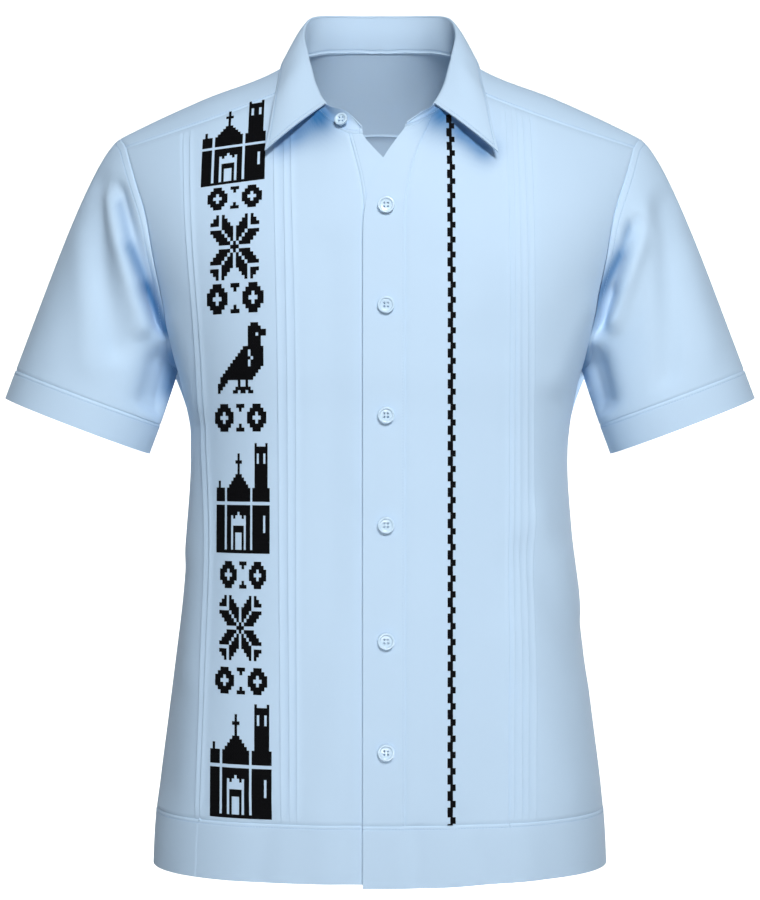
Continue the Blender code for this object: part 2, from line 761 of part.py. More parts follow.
leaf_edge = leaf_edge_points()
skip = len(STAND_END_RIGHT)
folds = stand_top[skip:len(stand_top) - skip]
leaf_rows = []
for t in (0.0, 0.07, 0.16, 0.3, 0.5, 0.75, 1.0):
    row = []
    for place, (fold, edge) in enumerate(zip(folds, leaf_edge)):
        start = fold + Vector((0, 0, 0.0016))
        way = edge - start
        flat = Vector((way.x, way.y, 0))
        bend = start + flat * 0.42 + Vector((0, 0, 0.0035 + way.z * 0.10))
        straight = start + way * 0.45 + Vector((way.x, way.y, 0)).normalized() * 0.002
        straight.y -= 0.010
        bend = bend.lerp(straight, ramp(8.0, 12.0, abs(place - (len(LEAF_EDGE) - 1))))
        p = start * (1 - t) ** 2 + bend * 2 * t * (1 - t) + edge * t * t
        row.append(p)
    leaf_rows.append(row)
sheet("collar_leaf", leaf_rows, lambda p: Vector((0, -0.01, p.z - 0.03)), weld=False)


# ---------------------------------------------------------------- make the cloth
chains = []
for side in (-1, 1):
    chains.append([back_seam_point(side * x) for x in back_seam_x])
shares = {}
for item in sheets:
    item["normals"] = grid_normals(item)
    if item["weld"]:
        for row, line in zip(item["grid"], item["normals"]):
            for p, n in zip(row, line):
                group = item["name"] if item["name"][:4] in ("slee", "coll", "hem_") else "torso"
                part = shares.setdefault(spot(p), {})
                part[group] = part.get(group, Vector((0, 0, 0))) + n.normalized()
welded = {}
for key, parts in shares.items():
    welded[key] = sum((n.normalized() for n in parts.values()), Vector((0, 0, 0)))
for item in sheets:
    thicken(item, welded)


# ---------------------------------------------------------------- buttons
def button(name, place, normal, radius=BUTTON_RADIUS):
    profile = ((0.0, 0.0), (0.86, 0.0), (1.0, 0.28), (1.0, 0.70), (0.90, 1.0), (0.76, 0.92),
               (0.66, 0.62), (0.0, 0.62))
    count = 24
    shape = bmesh.new()
    rings = []
    for share, level in profile:
        if share == 0:
            rings.append([shape.verts.new((0, 0, level * BUTTON_THICK))])
            continue
        ring = []
        for k in range(count):
            a = 2 * math.pi * k / count
            ring.append(shape.verts.new((math.cos(a) * share * radius,
                                         math.sin(a) * share * radius,
                                         level * BUTTON_THICK)))
        rings.append(ring)
    for low, high in zip(rings, rings[1:]):
        for k in range(count):
            n = (k + 1) % count
            if len(low) == 1:
                shape.faces.new((low[0], high[n], high[k]))
            elif len(high) == 1:
                shape.faces.new((low[k], low[n], high[0]))
            else:
                shape.faces.new((low[k], low[n], high[n], high[k]))
    body = bpy.data.meshes.new(name)
    shape.to_mesh(body)
    shape.free()
    made = bpy.data.objects.new(name, body)
    bpy.context.collection.objects.link(made)
    cutters = bmesh.new()
    for sx in (-1, 1):
        for sy in (-1, 1):
            start = len(cutters.verts)
            bmesh.ops.create_cone(cutters, cap_ends=True, segments=8, radius1=0.00075,
                                  radius2=0.00075, depth=0.01)
            cutters.verts.ensure_lookup_table()
            for v in cutters.verts[start:]:
                v.co += Vector((sx * 0.0013, sy * 0.0013, 0.001))
    tool_mesh = bpy.data.meshes.new(name + "_holes")
    cutters.to_mesh(tool_mesh)
    cutters.free()
    tool = bpy.data.objects.new(name + "_holes", tool_mesh)
    bpy.context.collection.objects.link(tool)
    cut = made.modifiers.new("holes", "BOOLEAN")
    cut.operation = "DIFFERENCE"
    cut.solver = "EXACT"
    cut.object = tool
    bpy.context.view_layer.objects.active = made
    made.select_set(True)
    bpy.ops.object.modifier_apply(modifier="holes")
    made.select_set(False)
    bpy.data.objects.remove(tool, do_unlink=True)
    up = Vector((0, 0, 1))
    along = (up - up.dot(normal) * normal).normalized()
    over = along.cross(normal)
    for v in made.data.vertices:
        c = v.co.copy()
        v.co = place + over * c.x + along * c.y + normal * c.z
    made.data.materials.append(paint_of(name, PEARL))
    return made


def surface_normal(x, z):
    a = on_body(x + 0.002, z, -1) - on_body(x - 0.002, z, -1)
    b = on_body(x, z + 0.002, -1) - on_body(x, z - 0.002, -1)
    n = a.cross(b).normalized()
    return n if n.y < 0 else -n


for k, z in enumerate(BUTTON_HEIGHTS):
    n = surface_normal(BUTTON_X, z)
    p = lap(on_body(BUTTON_X, z, -1), 1) + n * (WALL / 2 + 0.0006)
    button("button_%d" % (k + 1), p, n)

near_end = [stand_bottom[k].lerp(stand_top[k], 0.42) for k in (1, 2)]
across_way = near_end[1] - near_end[0]
up_way = (stand_top[1] - stand_bottom[1]) + (stand_top[2] - stand_bottom[2])
n = across_way.cross(up_way).normalized()
if n.y > 0:
    n = -n
centre = near_end[0].lerp(near_end[1], 0.30)
button("button_stand", centre + n * STAND_BUTTON_LIFT, n, STAND_BUTTON_RADIUS)
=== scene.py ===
import math
import bpy
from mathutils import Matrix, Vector, noise


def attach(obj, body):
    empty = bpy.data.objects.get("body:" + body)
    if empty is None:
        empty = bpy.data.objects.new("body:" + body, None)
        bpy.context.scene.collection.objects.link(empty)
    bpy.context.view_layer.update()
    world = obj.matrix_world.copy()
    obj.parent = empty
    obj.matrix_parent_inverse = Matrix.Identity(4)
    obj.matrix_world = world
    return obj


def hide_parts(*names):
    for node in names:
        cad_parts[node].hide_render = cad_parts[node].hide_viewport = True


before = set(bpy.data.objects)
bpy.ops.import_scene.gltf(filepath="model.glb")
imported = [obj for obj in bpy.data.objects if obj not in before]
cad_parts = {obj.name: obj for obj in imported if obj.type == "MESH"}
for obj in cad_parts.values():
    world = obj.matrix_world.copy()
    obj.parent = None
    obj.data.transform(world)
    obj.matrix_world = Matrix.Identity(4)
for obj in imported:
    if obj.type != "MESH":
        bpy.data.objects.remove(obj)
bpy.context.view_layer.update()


# ---- the general form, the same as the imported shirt's
form = {
    "round": 2.4,             # how square the body sections are
    "shoulderDrop": 0.200,    # height over which the shoulder rolls into chest and back
    "hemSeam": -0.672,
    "hem": -0.722,
    "armpit": -0.277,
    "lap": 0.0013,            # half the step between the two lapped fronts
    "clothThick": 0.0006,
    "doubleThick": 0.0010,    # placket, bands and collar, which are two layers
    "seamDip": 0.0009,        # how far a seam is pulled in
    "seamNear": 0.0014,       # how wide that groove is on each side
}

# body sections: height, half width, depth to the front, depth to the back
bodySections = (
    (0.070, 0.262, 0.080, 0.080), (0.000, 0.262, 0.094, 0.092), (-0.070, 0.252, 0.106, 0.100),
    (-0.140, 0.234, 0.117, 0.106), (-0.210, 0.206, 0.122, 0.108), (-0.280, 0.182, 0.123, 0.107),
    (-0.320, 0.173, 0.121, 0.105), (-0.360, 0.1697, 0.120, 0.104), (-0.433, 0.1743, 0.119, 0.105),
    (-0.488, 0.179, 0.120, 0.107), (-0.542, 0.1856, 0.121, 0.109), (-0.597, 0.1925, 0.123, 0.112),
    (-0.651, 0.1993, 0.125, 0.115), (-0.688, 0.203, 0.126, 0.116), (-0.730, 0.205, 0.126, 0.117),
)
# shoulder line: distance from the middle, height
shoulderRidge = (
    (0.000, 0.0580), (0.020, 0.0545), (0.040, 0.0410), (0.060, 0.0190), (0.088, -0.0034),
    (0.159, -0.0325), (0.200, -0.0507), (0.2375, -0.0689), (0.262, -0.082),
)
# armhole edge on the front and on the back: height, distance from the middle
armholeFront = (
    (-0.277, 0.1830), (-0.2437, 0.1886), (-0.209, 0.1952), (-0.1833, 0.2004),
    (-0.1436, 0.2075), (-0.1084, 0.2195), (-0.079, 0.2290),
)
armholeBack = (
    (-0.277, 0.1830), (-0.250, 0.1885), (-0.215, 0.1965), (-0.180, 0.2045),
    (-0.150, 0.2115), (-0.115, 0.2205),
)
# yoke end over the shoulder, back to front: step, distance from the middle, roll angle
armholeTop = (
    (0, 0.2205, -43.4), (1, 0.2275, -32.0), (2, 0.2330, -20.0), (3, 0.2358, -9.0),
    (4, 0.2362, 2.0), (5, 0.2340, 12.0), (6, 0.2290, 21.8),
)
# half neckline from the middle of the back: step, distance from the middle, roll angle
neckBack = (
    (0, 0.0000, -36.2), (1, 0.0200, -34.5), (2, 0.0400, -28.1), (3, 0.0570, -17.0),
    (4, 0.0680, -9.0), (5, 0.0735, -2.0), (6, 0.0748, 6.0), (7, 0.0742, 16.8),
    (8, 0.0715, 28.8), (9, 0.0679, 35.6),
)
neckRight = neckBack + ((10, 0.0644, 41.8), (11, 0.0525, 54.6), (12, 0.0391, 63.6),
                        (13, 0.0269, 68.8), (14, 0.0150, 70.7))
neckLeft = neckBack + ((10, 0.0644, 41.4), (11, 0.0545, 52.0), (12, 0.0455, 58.4),
                       (13, 0.0330, 64.6), (14, 0.0215, 68.2))
frontEndZ, frontEndX = armholeFront[-1]     # where the yoke meets the armhole
backEndZ, backEndX = armholeBack[-1]
neckSeamX = neckBack[-1][1]                 # where the yoke seam meets the neckline
# front edge lines: height, distance from the middle
rightSeam = ((-0.0745, 0.0269), (-0.092, 0.0226), (-0.1185, 0.0164), (-0.1455, 0.0135),
             (-0.200, 0.0125), (-0.722, 0.0125))
rightEdge = ((-0.0785, -0.0150), (-0.0828, -0.0121), (-0.0912, -0.0048), (-0.0993, 0.0030),
             (-0.112, 0.0140), (-0.135, 0.0203), (-0.160, 0.0215), (-0.722, 0.0215))
leftSeam = ((-0.0600, 0.0455), (-0.0917, 0.0320), (-0.120, 0.0245), (-0.160, 0.0214),
            (-0.722, 0.0214))
leftEdge = ((-0.0722, 0.0215), (-0.0860, 0.0115), (-0.0993, 0.0030), (-0.119, -0.0062),
            (-0.1403, -0.0125), (-0.170, -0.0146), (-0.722, -0.0146))


def curve(rows, at, column=1):
    rows = rows if rows[0][0] < rows[-1][0] else rows[::-1]
    at = min(max(at, rows[0][0]), rows[-1][0])
    k = 0
    while k < len(rows) - 2 and at > rows[k + 1][0]:
        k += 1
    x0, x1 = rows[k][0], rows[k + 1][0]
    y0, y1 = rows[k][column], rows[k + 1][column]
    slope = before = after = (y1 - y0) / (x1 - x0)
    if k > 0:
        before = (y0 - rows[k - 1][column]) / (x0 - rows[k - 1][0])
    if k < len(rows) - 2:
        after = (rows[k + 2][column] - y1) / (rows[k + 2][0] - x1)
    first = 0.0 if before * slope <= 0 and k > 0 else (before + slope) / 2
    second = 0.0 if after * slope <= 0 and k < len(rows) - 2 else (after + slope) / 2
    wide = x1 - x0
    t = (at - x0) / wide
    return ((2 * t ** 3 - 3 * t ** 2 + 1) * y0 + (t ** 3 - 2 * t ** 2 + t) * wide * first
            + (3 * t ** 2 - 2 * t ** 3) * y1 + (t ** 3 - t ** 2) * wide * second)


def ramp(low, high, at):
    t = min(max((at - low) / (high - low), 0.0), 1.0)
    return t * t * (3 - 2 * t)


def halfWidth(z):
    return curve(bodySections, z, 1)


def depthAt(z, side):
    return curve(bodySections, z, 2 if side < 0 else 3)


def across(x, z):
    share = min(abs(x) / halfWidth(z), 1.0)
    return (1 - share ** form["round"]) ** (1 / form["round"])


def onBody(x, z, side):     # side -1 is the front, +1 the back
    fall = 1 - (curve(shoulderRidge, abs(x)) - z) / form["shoulderDrop"]
    fall = min(max(fall, 0.0), 1.0)
    return Vector((x, side * depthAt(z, side) * across(x, z) * math.sqrt(1 - fall * fall), z))


def onTop(x, roll):     # roll 0 is the shoulder line, more is forward
    roll = math.radians(roll)
    z = curve(shoulderRidge, abs(x)) - form["shoulderDrop"] * (1 - math.cos(roll))
    side = -1 if roll > 0 else 1
    return Vector((x, -depthAt(z, side) * across(x, z) * math.sin(roll), z))


def turnOf(x, z):
    turn = math.acos(min(abs(x) / halfWidth(z), 1.0) ** (form["round"] / 2))
    return turn if x >= 0 else math.pi - turn


def atTurn(turn, z):
    value = abs(math.cos(turn)) ** (2 / form["round"]) * halfWidth(z)
    return value if turn <= math.pi / 2 else -value


def rollOf(x, z):
    fall = 1 - (curve(shoulderRidge, abs(x)) - z) / form["shoulderDrop"]
    return math.degrees(math.acos(min(max(fall, -1.0), 1.0)))


def lapped(p, side):     # left front steps out, right front steps in
    amount = form["lap"] * ramp(-0.079, -0.095, p.z) * ramp(0.120, 0.035, abs(p.x))
    return p + Vector((p.x * 0.3, p.y, 0)).normalized() * amount * side


def frontSeamPoint(x):
    start = onTop(*neckBack[-1][1:])
    share = max((abs(x) - start.x) / (frontEndX - start.x), 0.0)
    z = start.z + share * (frontEndZ - start.z) - 0.004 * math.sin(math.pi * share)
    return onBody(x, z, -1)


def backSeamPoint(x):
    return onBody(x, -0.053 - 0.062 * (abs(x) / backEndX) ** 1.7, 1)


# ---- soft folds of the body: from x, z to x, z, half width, height out (+) or in (-)
bodyFolds = {
    "front": (
        (0.088, -0.24, 0.090, -0.66, 0.020, -0.0016),
        (0.052, -0.20, 0.046, -0.60, 0.016, 0.0010),
        (0.120, -0.43, 0.188, -0.55, 0.015, -0.0024),
        (0.135, -0.40, 0.186, -0.50, 0.013, 0.0022),
        (0.105, -0.50, 0.176, -0.66, 0.018, 0.0018),
        (0.150, -0.30, 0.160, -0.44, 0.014, -0.0014),
        (0.185, -0.22, 0.150, -0.30, 0.012, 0.0020),
        (-0.045, -0.17, -0.040, -0.52, 0.016, -0.0015),
        (-0.030, -0.50, -0.052, -0.67, 0.014, 0.0012),
        (-0.178, -0.45, -0.190, -0.66, 0.012, -0.0020),
        (-0.165, -0.34, -0.172, -0.56, 0.012, 0.0016),
        (-0.185, -0.23, -0.160, -0.32, 0.012, 0.0020),
        (0.030, -0.67, 0.034, -0.73, 0.010, -0.0018),
        (0.075, -0.66, 0.095, -0.73, 0.014, -0.0020),
        (0.125, -0.67, 0.128, -0.73, 0.014, 0.0016),
        (-0.098, -0.66, -0.105, -0.73, 0.014, -0.0016),
        (-0.050, -0.66, -0.046, -0.73, 0.014, 0.0014),
    ),
    "back": (
        (0.050, -0.20, 0.060, -0.62, 0.022, 0.0024),
        (-0.060, -0.16, -0.052, -0.66, 0.024, 0.0022),
        (0.005, -0.26, -0.004, -0.70, 0.020, -0.0026),
        (0.110, -0.28, 0.128, -0.70, 0.018, -0.0026),
        (-0.118, -0.30, -0.130, -0.72, 0.020, -0.0026),
        (0.150, -0.34, 0.172, -0.60, 0.014, 0.0022),
        (-0.155, -0.36, -0.170, -0.64, 0.014, 0.0022),
        (0.180, -0.20, 0.120, -0.34, 0.012, 0.0022),
        (-0.182, -0.20, -0.126, -0.32, 0.012, 0.0022),
        (0.060, -0.40, 0.150, -0.42, 0.016, -0.0014),
        (-0.150, -0.40, -0.050, -0.43, 0.016, -0.0014),
    ),
}


def strokeHeight(x, z, x0, z0, x1, z1, wide, height):
    dx, dz = x1 - x0, z1 - z0
    length = math.hypot(dx, dz)
    along = ((x - x0) * dx + (z - z0) * dz) / length
    aside = ((x - x0) * dz - (z - z0) * dx) / length
    if abs(aside) > wide * 3 or not -wide < along < length + wide:
        return 0.0
    ends = ramp(-wide, wide, along) * ramp(length + wide, length - wide, along)
    return height * math.exp(-(aside / wide) ** 2) * ends


def foldHeight(x, z, side):
    total = sum(strokeHeight(x, z, *stroke)
                for stroke in bodyFolds["front" if side < 0 else "back"])
    total += 0.0007 * noise.noise(Vector((x * 9, side * 3.1, z * 5)))
    return total


def draped(p, side=None):
    side = side if side else (-1 if p.y <= 0 else 1)
    calm = ramp(-0.06, -0.16, p.z) * ramp(0.0, 0.02, abs(p.y))
    if calm == 0:
        return p
    return p + Vector((p.x * 0.5, p.y, 0)).normalized() * foldHeight(p.x, p.z, side) * calm


def spread(count, length, near=True):     # even shares, with one more close to each end
    shares = [k / count for k in range(count + 1)]
    if near:
        step = form["seamNear"] / length
        shares = [0.0, step] + [s for s in shares[1:-1] if step * 1.6 < s < 1 - step * 1.6]
        shares += [1 - step, 1.0]
    return shares


# ---- laying a sheet of cloth: a grid is put down, shaped, turned face out and thickened
def sewnUv(piece, spots, grainAcross, grainDown, sewn):     # distance from the stitched lines
    far = 0.5
    piece.data.uv_layers.new(name="sewn")
    piece.data.uv_layers.active = piece.data.uv_layers[0]
    layer = piece.data.uv_layers["sewn"]
    for loop in piece.data.loops:
        j, i = spots[loop.vertex_index]
        line, down = grainAcross[j], [row[i] for row in grainDown]
        fromLeft, fromRight = line[i] - line[0], line[-1] - line[i]
        fromFirst, fromLast = down[j], down[-1] - down[j]
        aside = (fromLeft - sewn.get("left", -far) if fromLeft < fromRight
                 else fromRight - sewn.get("right", -far))
        along = (fromFirst - sewn.get("bottom", -far) if fromFirst < fromLast
                 else fromLast - sewn.get("top", -far))
        layer.data[loop.index].uv = (aside, along)


def layCloth(name, rows, heart, thick=None, tube=False, seams="",
             nodes=(), sewn=None, hollows=()):
    down, over = len(rows), len(rows[0])
    bpy.ops.object.select_all(action="DESELECT")
    bpy.ops.mesh.primitive_grid_add(x_subdivisions=over - 1, y_subdivisions=down - 1, size=1)
    piece = bpy.context.object
    piece.name = piece.data.name = name
    spots = []
    for corner in piece.data.vertices:
        i = round((corner.co.x + 0.5) * (over - 1))
        j = round((corner.co.y + 0.5) * (down - 1))
        spots.append((j, i))
        corner.co = rows[j][i]
    grainAcross = [[0.0] for _ in rows]     # metres along the cloth, for the weave
    for j, row in enumerate(rows):
        for i in range(1, over):
            grainAcross[j].append(grainAcross[j][-1] + (row[i] - row[i - 1]).length)
        middle = grainAcross[j][over // 2]
        grainAcross[j] = [g - middle for g in grainAcross[j]]
    grainDown = [[0.0] * over]
    for j in range(1, down):
        grainDown.append([grainDown[-1][i] + (rows[j][i] - rows[j - 1][i]).length
                          for i in range(over)])
    weave = piece.data.uv_layers.active.data
    for loop in piece.data.loops:
        j, i = spots[loop.vertex_index]
        weave[loop.index].uv = (grainAcross[j][i], grainDown[j][i])
    sewnUv(piece, spots, grainAcross, grainDown, sewn or {})
    # painted shade: each corner's share of the deep blue shade colour, summed from the painted
    # shade strokes
    deep = piece.data.attributes.new("hollow", "FLOAT", "POINT")
    for corner in piece.data.vertices:
        deep.data[corner.index].value = min(sum(
            strokeHeight(corner.co.x, corner.co.z, *hollow) for hollow in hollows), 1.0)
    facing = sum(face.normal.dot(face.center - heart(face.center)) * face.area
                 for face in piece.data.polygons)
    bpy.ops.object.mode_set(mode="EDIT")
    bpy.ops.mesh.select_all(action="SELECT")
    if facing < 0:
        bpy.ops.mesh.flip_normals()
    if tube:
        bpy.ops.mesh.remove_doubles(threshold=0.00001)
    bpy.ops.object.mode_set(mode="OBJECT")
    if seams:
        pulls = {}
        for (j, i), corner in zip(spots, piece.data.vertices) if not tube else ():
            if (("b" in seams and j == 0) or ("t" in seams and j == down - 1)
                    or ("l" in seams and i == 0) or ("r" in seams and i == over - 1)):
                pulls[corner.index] = corner.normal.copy()
        for index, normal in pulls.items():
            piece.data.vertices[index].co -= normal * form["seamDip"]
    wall = piece.modifiers.new("wall", "SOLIDIFY")
    wall.thickness = thick or form["clothThick"]
    wall.offset = 0
    bpy.ops.object.modifier_apply(modifier="wall")
    bpy.ops.object.shade_smooth_by_angle(angle=math.radians(48))
    piece.data.materials.append(shirtBlue)
    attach(piece, "root")
    if nodes:
        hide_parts(*nodes)
    measured = sum(face.area for face in piece.data.polygons) / 2
    print("cloth:", name, len(piece.data.polygons) * 2, "triangles,", round(measured, 4), "m2")
    return piece


# ---- materials
class Wire:     # a socket that can be used in sums
    def __init__(self, tree, socket):
        self.tree = tree
        self.socket = socket

    def node(self, kind, settings=None, **sockets):
        made = self.tree.nodes.new(kind)
        for name, value in (settings or {}).items():
            if name == "stops":
                ramp_ = made.color_ramp
                while len(ramp_.elements) < len(value):
                    ramp_.elements.new(0.5)
                for stop, (place, colour) in zip(ramp_.elements, value):
                    stop.position = place
                    stop.color = colour
            else:
                setattr(made, name, value)
        for name, value in sockets.items():
            slot = made.inputs[int(name[1:])] if name[0] == "i" and name[1:].isdigit() \
                else made.inputs[name.replace("_", " ")]
            if isinstance(value, Wire):
                self.tree.links.new(value.socket, slot)
            else:
                slot.default_value = value
        return made

    def out(self, kind, settings=None, output=0, **sockets):
        return Wire(self.tree, self.node(kind, settings, **sockets).outputs[output])

    def sum(self, operation, first, second=None, third=None):
        sockets = {"i0": first}
        if second is not None:
            sockets["i1"] = second
        if third is not None:
            sockets["i2"] = third
        return self.out("ShaderNodeMath", {"operation": operation}, **sockets)

    def __add__(self, other):
        return self.sum("ADD", self, other)

    def __sub__(self, other):
        return self.sum("SUBTRACT", self, other)

    def __rsub__(self, other):
        return self.sum("SUBTRACT", other, self)

    def __mul__(self, other):
        return self.sum("MULTIPLY", self, other)

    def __gt__(self, other):
        return self.sum("GREATER_THAN", self, other)

    def axes(self, vector):
        parts = self.node("ShaderNodeSeparateXYZ", i0=vector)
        return [Wire(self.tree, part) for part in parts.outputs]

    def wave(self):
        return self.sum("SINE", self)

    def size(self):
        return self.sum("ABSOLUTE", self)

    def to(self, shader, slot):
        self.tree.links.new(self.socket, shader.inputs[slot])

    def blend(self, low, high):     # self is the share of high
        return self.out("ShaderNodeMix", {"data_type": "RGBA"}, 2, i0=self, i6=low, i7=high)


def newMaterial(name):
    made = bpy.data.materials.new(name)
    made.use_nodes = True
    shader = made.node_tree.nodes["Principled BSDF"]
    start = Wire(made.node_tree, None)
    place = start.out("ShaderNodeTexCoord", output=3)     # measured on the piece itself
    return made, shader, start, place


def settle(shader, **values):
    for name, value in values.items():
        shader.inputs[name.replace("_", " ")].default_value = value


def colour(red, green, blue):
    return (red, green, blue, 1.0)


shirtCloth = {
    "light": colour(0.585, 0.755, 0.930),
    "dark": colour(0.545, 0.720, 0.905),
    "threadPitch": 0.00042,      # two threads of the plain weave
    "weaveDepth": 0.00005,
    "slubStretch": (2600.0, 160.0, 1.0),      # uneven threads, long and thin
    "slubDepth": 0.00003,
    "softDepth": 0.00022,        # slow unevenness of worn cloth
    "roughLow": 0.72,
    "roughHigh": 0.88,
    "deep": colour(0.035, 0.170, 0.400),      # painted shade, deep blue, mixed in under the collar leaf and beside the armholes
    "sheen": 0.22,
    "grooveWide": 0.00060,       # the dent a row of stitches pulls in
    "grooveDeep": 0.00055,
}


def clothMaterial(name, light, dark):
    made, shader, start, place = newMaterial(name)
    along = start.out("ShaderNodeUVMap")
    weft, warp = start.axes(along)[:2]
    turns = 2 * math.pi / shirtCloth["threadPitch"]
    wobble = start.out("ShaderNodeTexNoise", Vector=place, Scale=140.0, Detail=2.0)
    acrossWave = (weft * turns + wobble * 2.0).wave()
    downWave = (warp * turns + wobble * 2.0).wave()
    over = acrossWave * downWave > 0.0
    weave = over * acrossWave.size() + (1 - over) * downWave.size()
    slub = start.out("ShaderNodeTexNoise", Vector=start.out(
        "ShaderNodeVectorMath", {"operation": "MULTIPLY"}, i0=along, i1=shirtCloth["slubStretch"]),
        Scale=1.0, Detail=3.0)
    mottle = start.out("ShaderNodeTexNoise", Vector=place, Scale=26.0, Detail=4.0)
    share = slub * 0.45 + mottle * 0.40 + weave * 0.15
    # painted shade: the stored share of the deep blue shade colour, which stands in for shade
    # under the collar leaf and beside the armholes
    paintedShadeShare = start.out("ShaderNodeAttribute", {"attribute_name": "hollow"}, 2)
    tone = paintedShadeShare.blend(share.blend(dark, light), shirtCloth["deep"])
    tone.to(shader, "Base Color")
    span = shirtCloth["roughHigh"] - shirtCloth["roughLow"]
    (mottle * span + shirtCloth["roughLow"]).to(shader, "Roughness")
    soft = start.out("ShaderNodeTexNoise", Vector=place, Scale=60.0, Detail=3.0)
    sewn = start.axes(start.out("ShaderNodeUVMap", {"uv_map": "sewn"}))
    beside, above = sewn[0].size(), sewn[1].size()
    nearest = beside.sum("MINIMUM", beside, above) * (1 / shirtCloth["grooveWide"])
    groove = start.sum("EXPONENT", nearest * nearest * -1.0)
    height = (weave * shirtCloth["weaveDepth"] + slub * shirtCloth["slubDepth"]
              + soft * shirtCloth["softDepth"] - groove * shirtCloth["grooveDeep"])
    start.out("ShaderNodeBump", Height=height, Strength=0.5, Distance=1.0).to(shader, "Normal")
    settle(shader, Sheen_Weight=shirtCloth["sheen"], Sheen_Roughness=0.45,
           Sheen_Tint=colour(0.80, 0.90, 1.0), Specular_IOR_Level=0.28)
    return made


shirtBlue = clothMaterial("shirtBlue", shirtCloth["light"], shirtCloth["dark"])


def threadMaterial(name, light, dark, rough, pitch, gloss=0.3):
    made, shader, start, place = newMaterial(name)
    x, y, z = start.axes(place)
    ply = ((x + z + y) * (2 * math.pi / pitch)).wave() * 0.5 + 0.5
    fuzz = start.out("ShaderNodeTexNoise", Vector=place, Scale=1400.0, Detail=3.0)
    share = ply * 0.5 + fuzz * 0.5
    share.blend(dark, light).to(shader, "Base Color")
    (fuzz * 0.2 + (rough - 0.1)).to(shader, "Roughness")
    height = ply * 0.00006 + fuzz * 0.00004
    start.out("ShaderNodeBump", Height=height, Strength=0.6, Distance=1.0).to(shader, "Normal")
    settle(shader, Specular_IOR_Level=gloss)
    return made


blackThread = threadMaterial("blackThread", colour(0.0045, 0.0048, 0.0062),
                             colour(0.0015, 0.0015, 0.002), 0.75, 0.0006, 0.10)
blueThread = threadMaterial("blueThread", colour(0.40, 0.60, 0.84), colour(0.27, 0.47, 0.72),
                            0.6, 0.0005)

pearl = {"light": colour(0.66, 0.83, 0.97), "dark": colour(0.56, 0.75, 0.93), "rough": 0.22}


def buttonMaterial(name):
    made, shader, start, place = newMaterial(name)
    cloud = start.out("ShaderNodeTexNoise", Vector=place, Scale=220.0, Detail=4.0,
                      Distortion=0.8)
    grain = start.out("ShaderNodeTexNoise", Vector=place, Scale=1500.0, Detail=2.0)
    cloud.blend(pearl["dark"], pearl["light"]).to(shader, "Base Color")
    (grain * 0.12 + pearl["rough"]).to(shader, "Roughness")
    height = grain * 0.00004 + cloud * 0.00004
    start.out("ShaderNodeBump", Height=height, Strength=0.35, Distance=1.0).to(shader, "Normal")
    settle(shader, Coat_Weight=0.3, Coat_Roughness=0.12)
    return made


buttonBlue = buttonMaterial("buttonBlue")


# ---- fronts
frontPanel = {
    "tuckHeight": 0.0010,
    "tuckShape": ((-0.0042, 0.0), (-0.0026, 0.20), (-0.0012, 0.62), (-0.0003, 0.95),
                  (0.0001, 1.0), (0.0003, 0.90), (0.0004, 0.06), (0.0009, 0.0)),
    "rowsBelow": 96,
    "rowsAbove": 50,
    "betweenTucks": 2,
    # tucks from the middle outwards: height, distance from the middle
    "tucksRight": (
        ((-0.0903, 0.0773), (-0.2405, 0.0728), (-0.433, 0.0720), (-0.663, 0.0710)),
        ((-0.0903, 0.0834), (-0.2405, 0.0801), (-0.433, 0.0789), (-0.663, 0.0773)),
        ((-0.0903, 0.0921), (-0.2405, 0.0882), (-0.433, 0.0866), (-0.663, 0.0847)),
        ((-0.0643, 0.1681), (-0.1496, 0.1638), (-0.238, 0.1577), (-0.351, 0.1517),
         (-0.4354, 0.1486), (-0.5345, 0.1516), (-0.669, 0.1560)),
        ((-0.0643, 0.1743), (-0.1496, 0.1695), (-0.238, 0.1628), (-0.351, 0.1566),
         (-0.4354, 0.1535), (-0.5345, 0.1564), (-0.669, 0.1603)),
    ),
    "tucksLeft": (
        ((-0.0507, 0.1098), (-0.2477, 0.1115), (-0.6646, 0.1100)),
        ((-0.0507, 0.1160), (-0.2477, 0.1160), (-0.6646, 0.1151)),
        ((-0.0507, 0.1198), (-0.2477, 0.1208), (-0.6646, 0.1220)),
        ((-0.0507, 0.1250), (-0.2477, 0.1274), (-0.6646, 0.1276)),
        ((-0.0507, 0.1317), (-0.2477, 0.1334), (-0.6646, 0.1344)),
    ),
    # painted shade under the collar leaf, deep blue mixed into the cloth colour: from x, z, to x,
    # z, half width, strength of the painted shade
    "hollows": (
        (-0.0400, -0.0520, -0.0680, -0.0690, 0.0190, 1.10),
        (-0.0680, -0.0720, -0.0930, -0.0900, 0.0120, 0.70),
        (0.0440, -0.0500, 0.0640, -0.0670, 0.0190, 1.15),
        (0.0660, -0.0700, 0.0980, -0.0960, 0.0115, 0.85),
    ),
    "latecomer": 1,              # the left tuck that only starts part way down
    "latecomerStarts": (-0.235, -0.255),
}


def heartOfBody(p):
    return Vector((p.x * 0.6, 0, min(p.z, -0.16)))


def sideHeights(top, above, below):     # heights up the side seam, then up the armhole
    low, high = form["hemSeam"], form["armpit"]
    heights = [low + (high - low) * s for s in spread(below, high - low)[:-2]]
    heights += [high + (top - high) * (k / above) ** 1.6 for k in range(above)]
    return heights + [top - form["seamNear"], top]


def armholePoint(side, z, facing):
    if z <= form["armpit"]:
        return Vector((side * halfWidth(z), 0, z))
    x = curve(armholeFront if facing < 0 else armholeBack, z)
    return onBody(side * x, z, facing)


def edgeTurn(line, z):
    rows, shift = line
    if rows is None:
        x = halfWidth(z) if z <= form["armpit"] else curve(armholeFront, z)
        return turnOf(x, z)
    return turnOf(curve(rows, z) + shift, z)


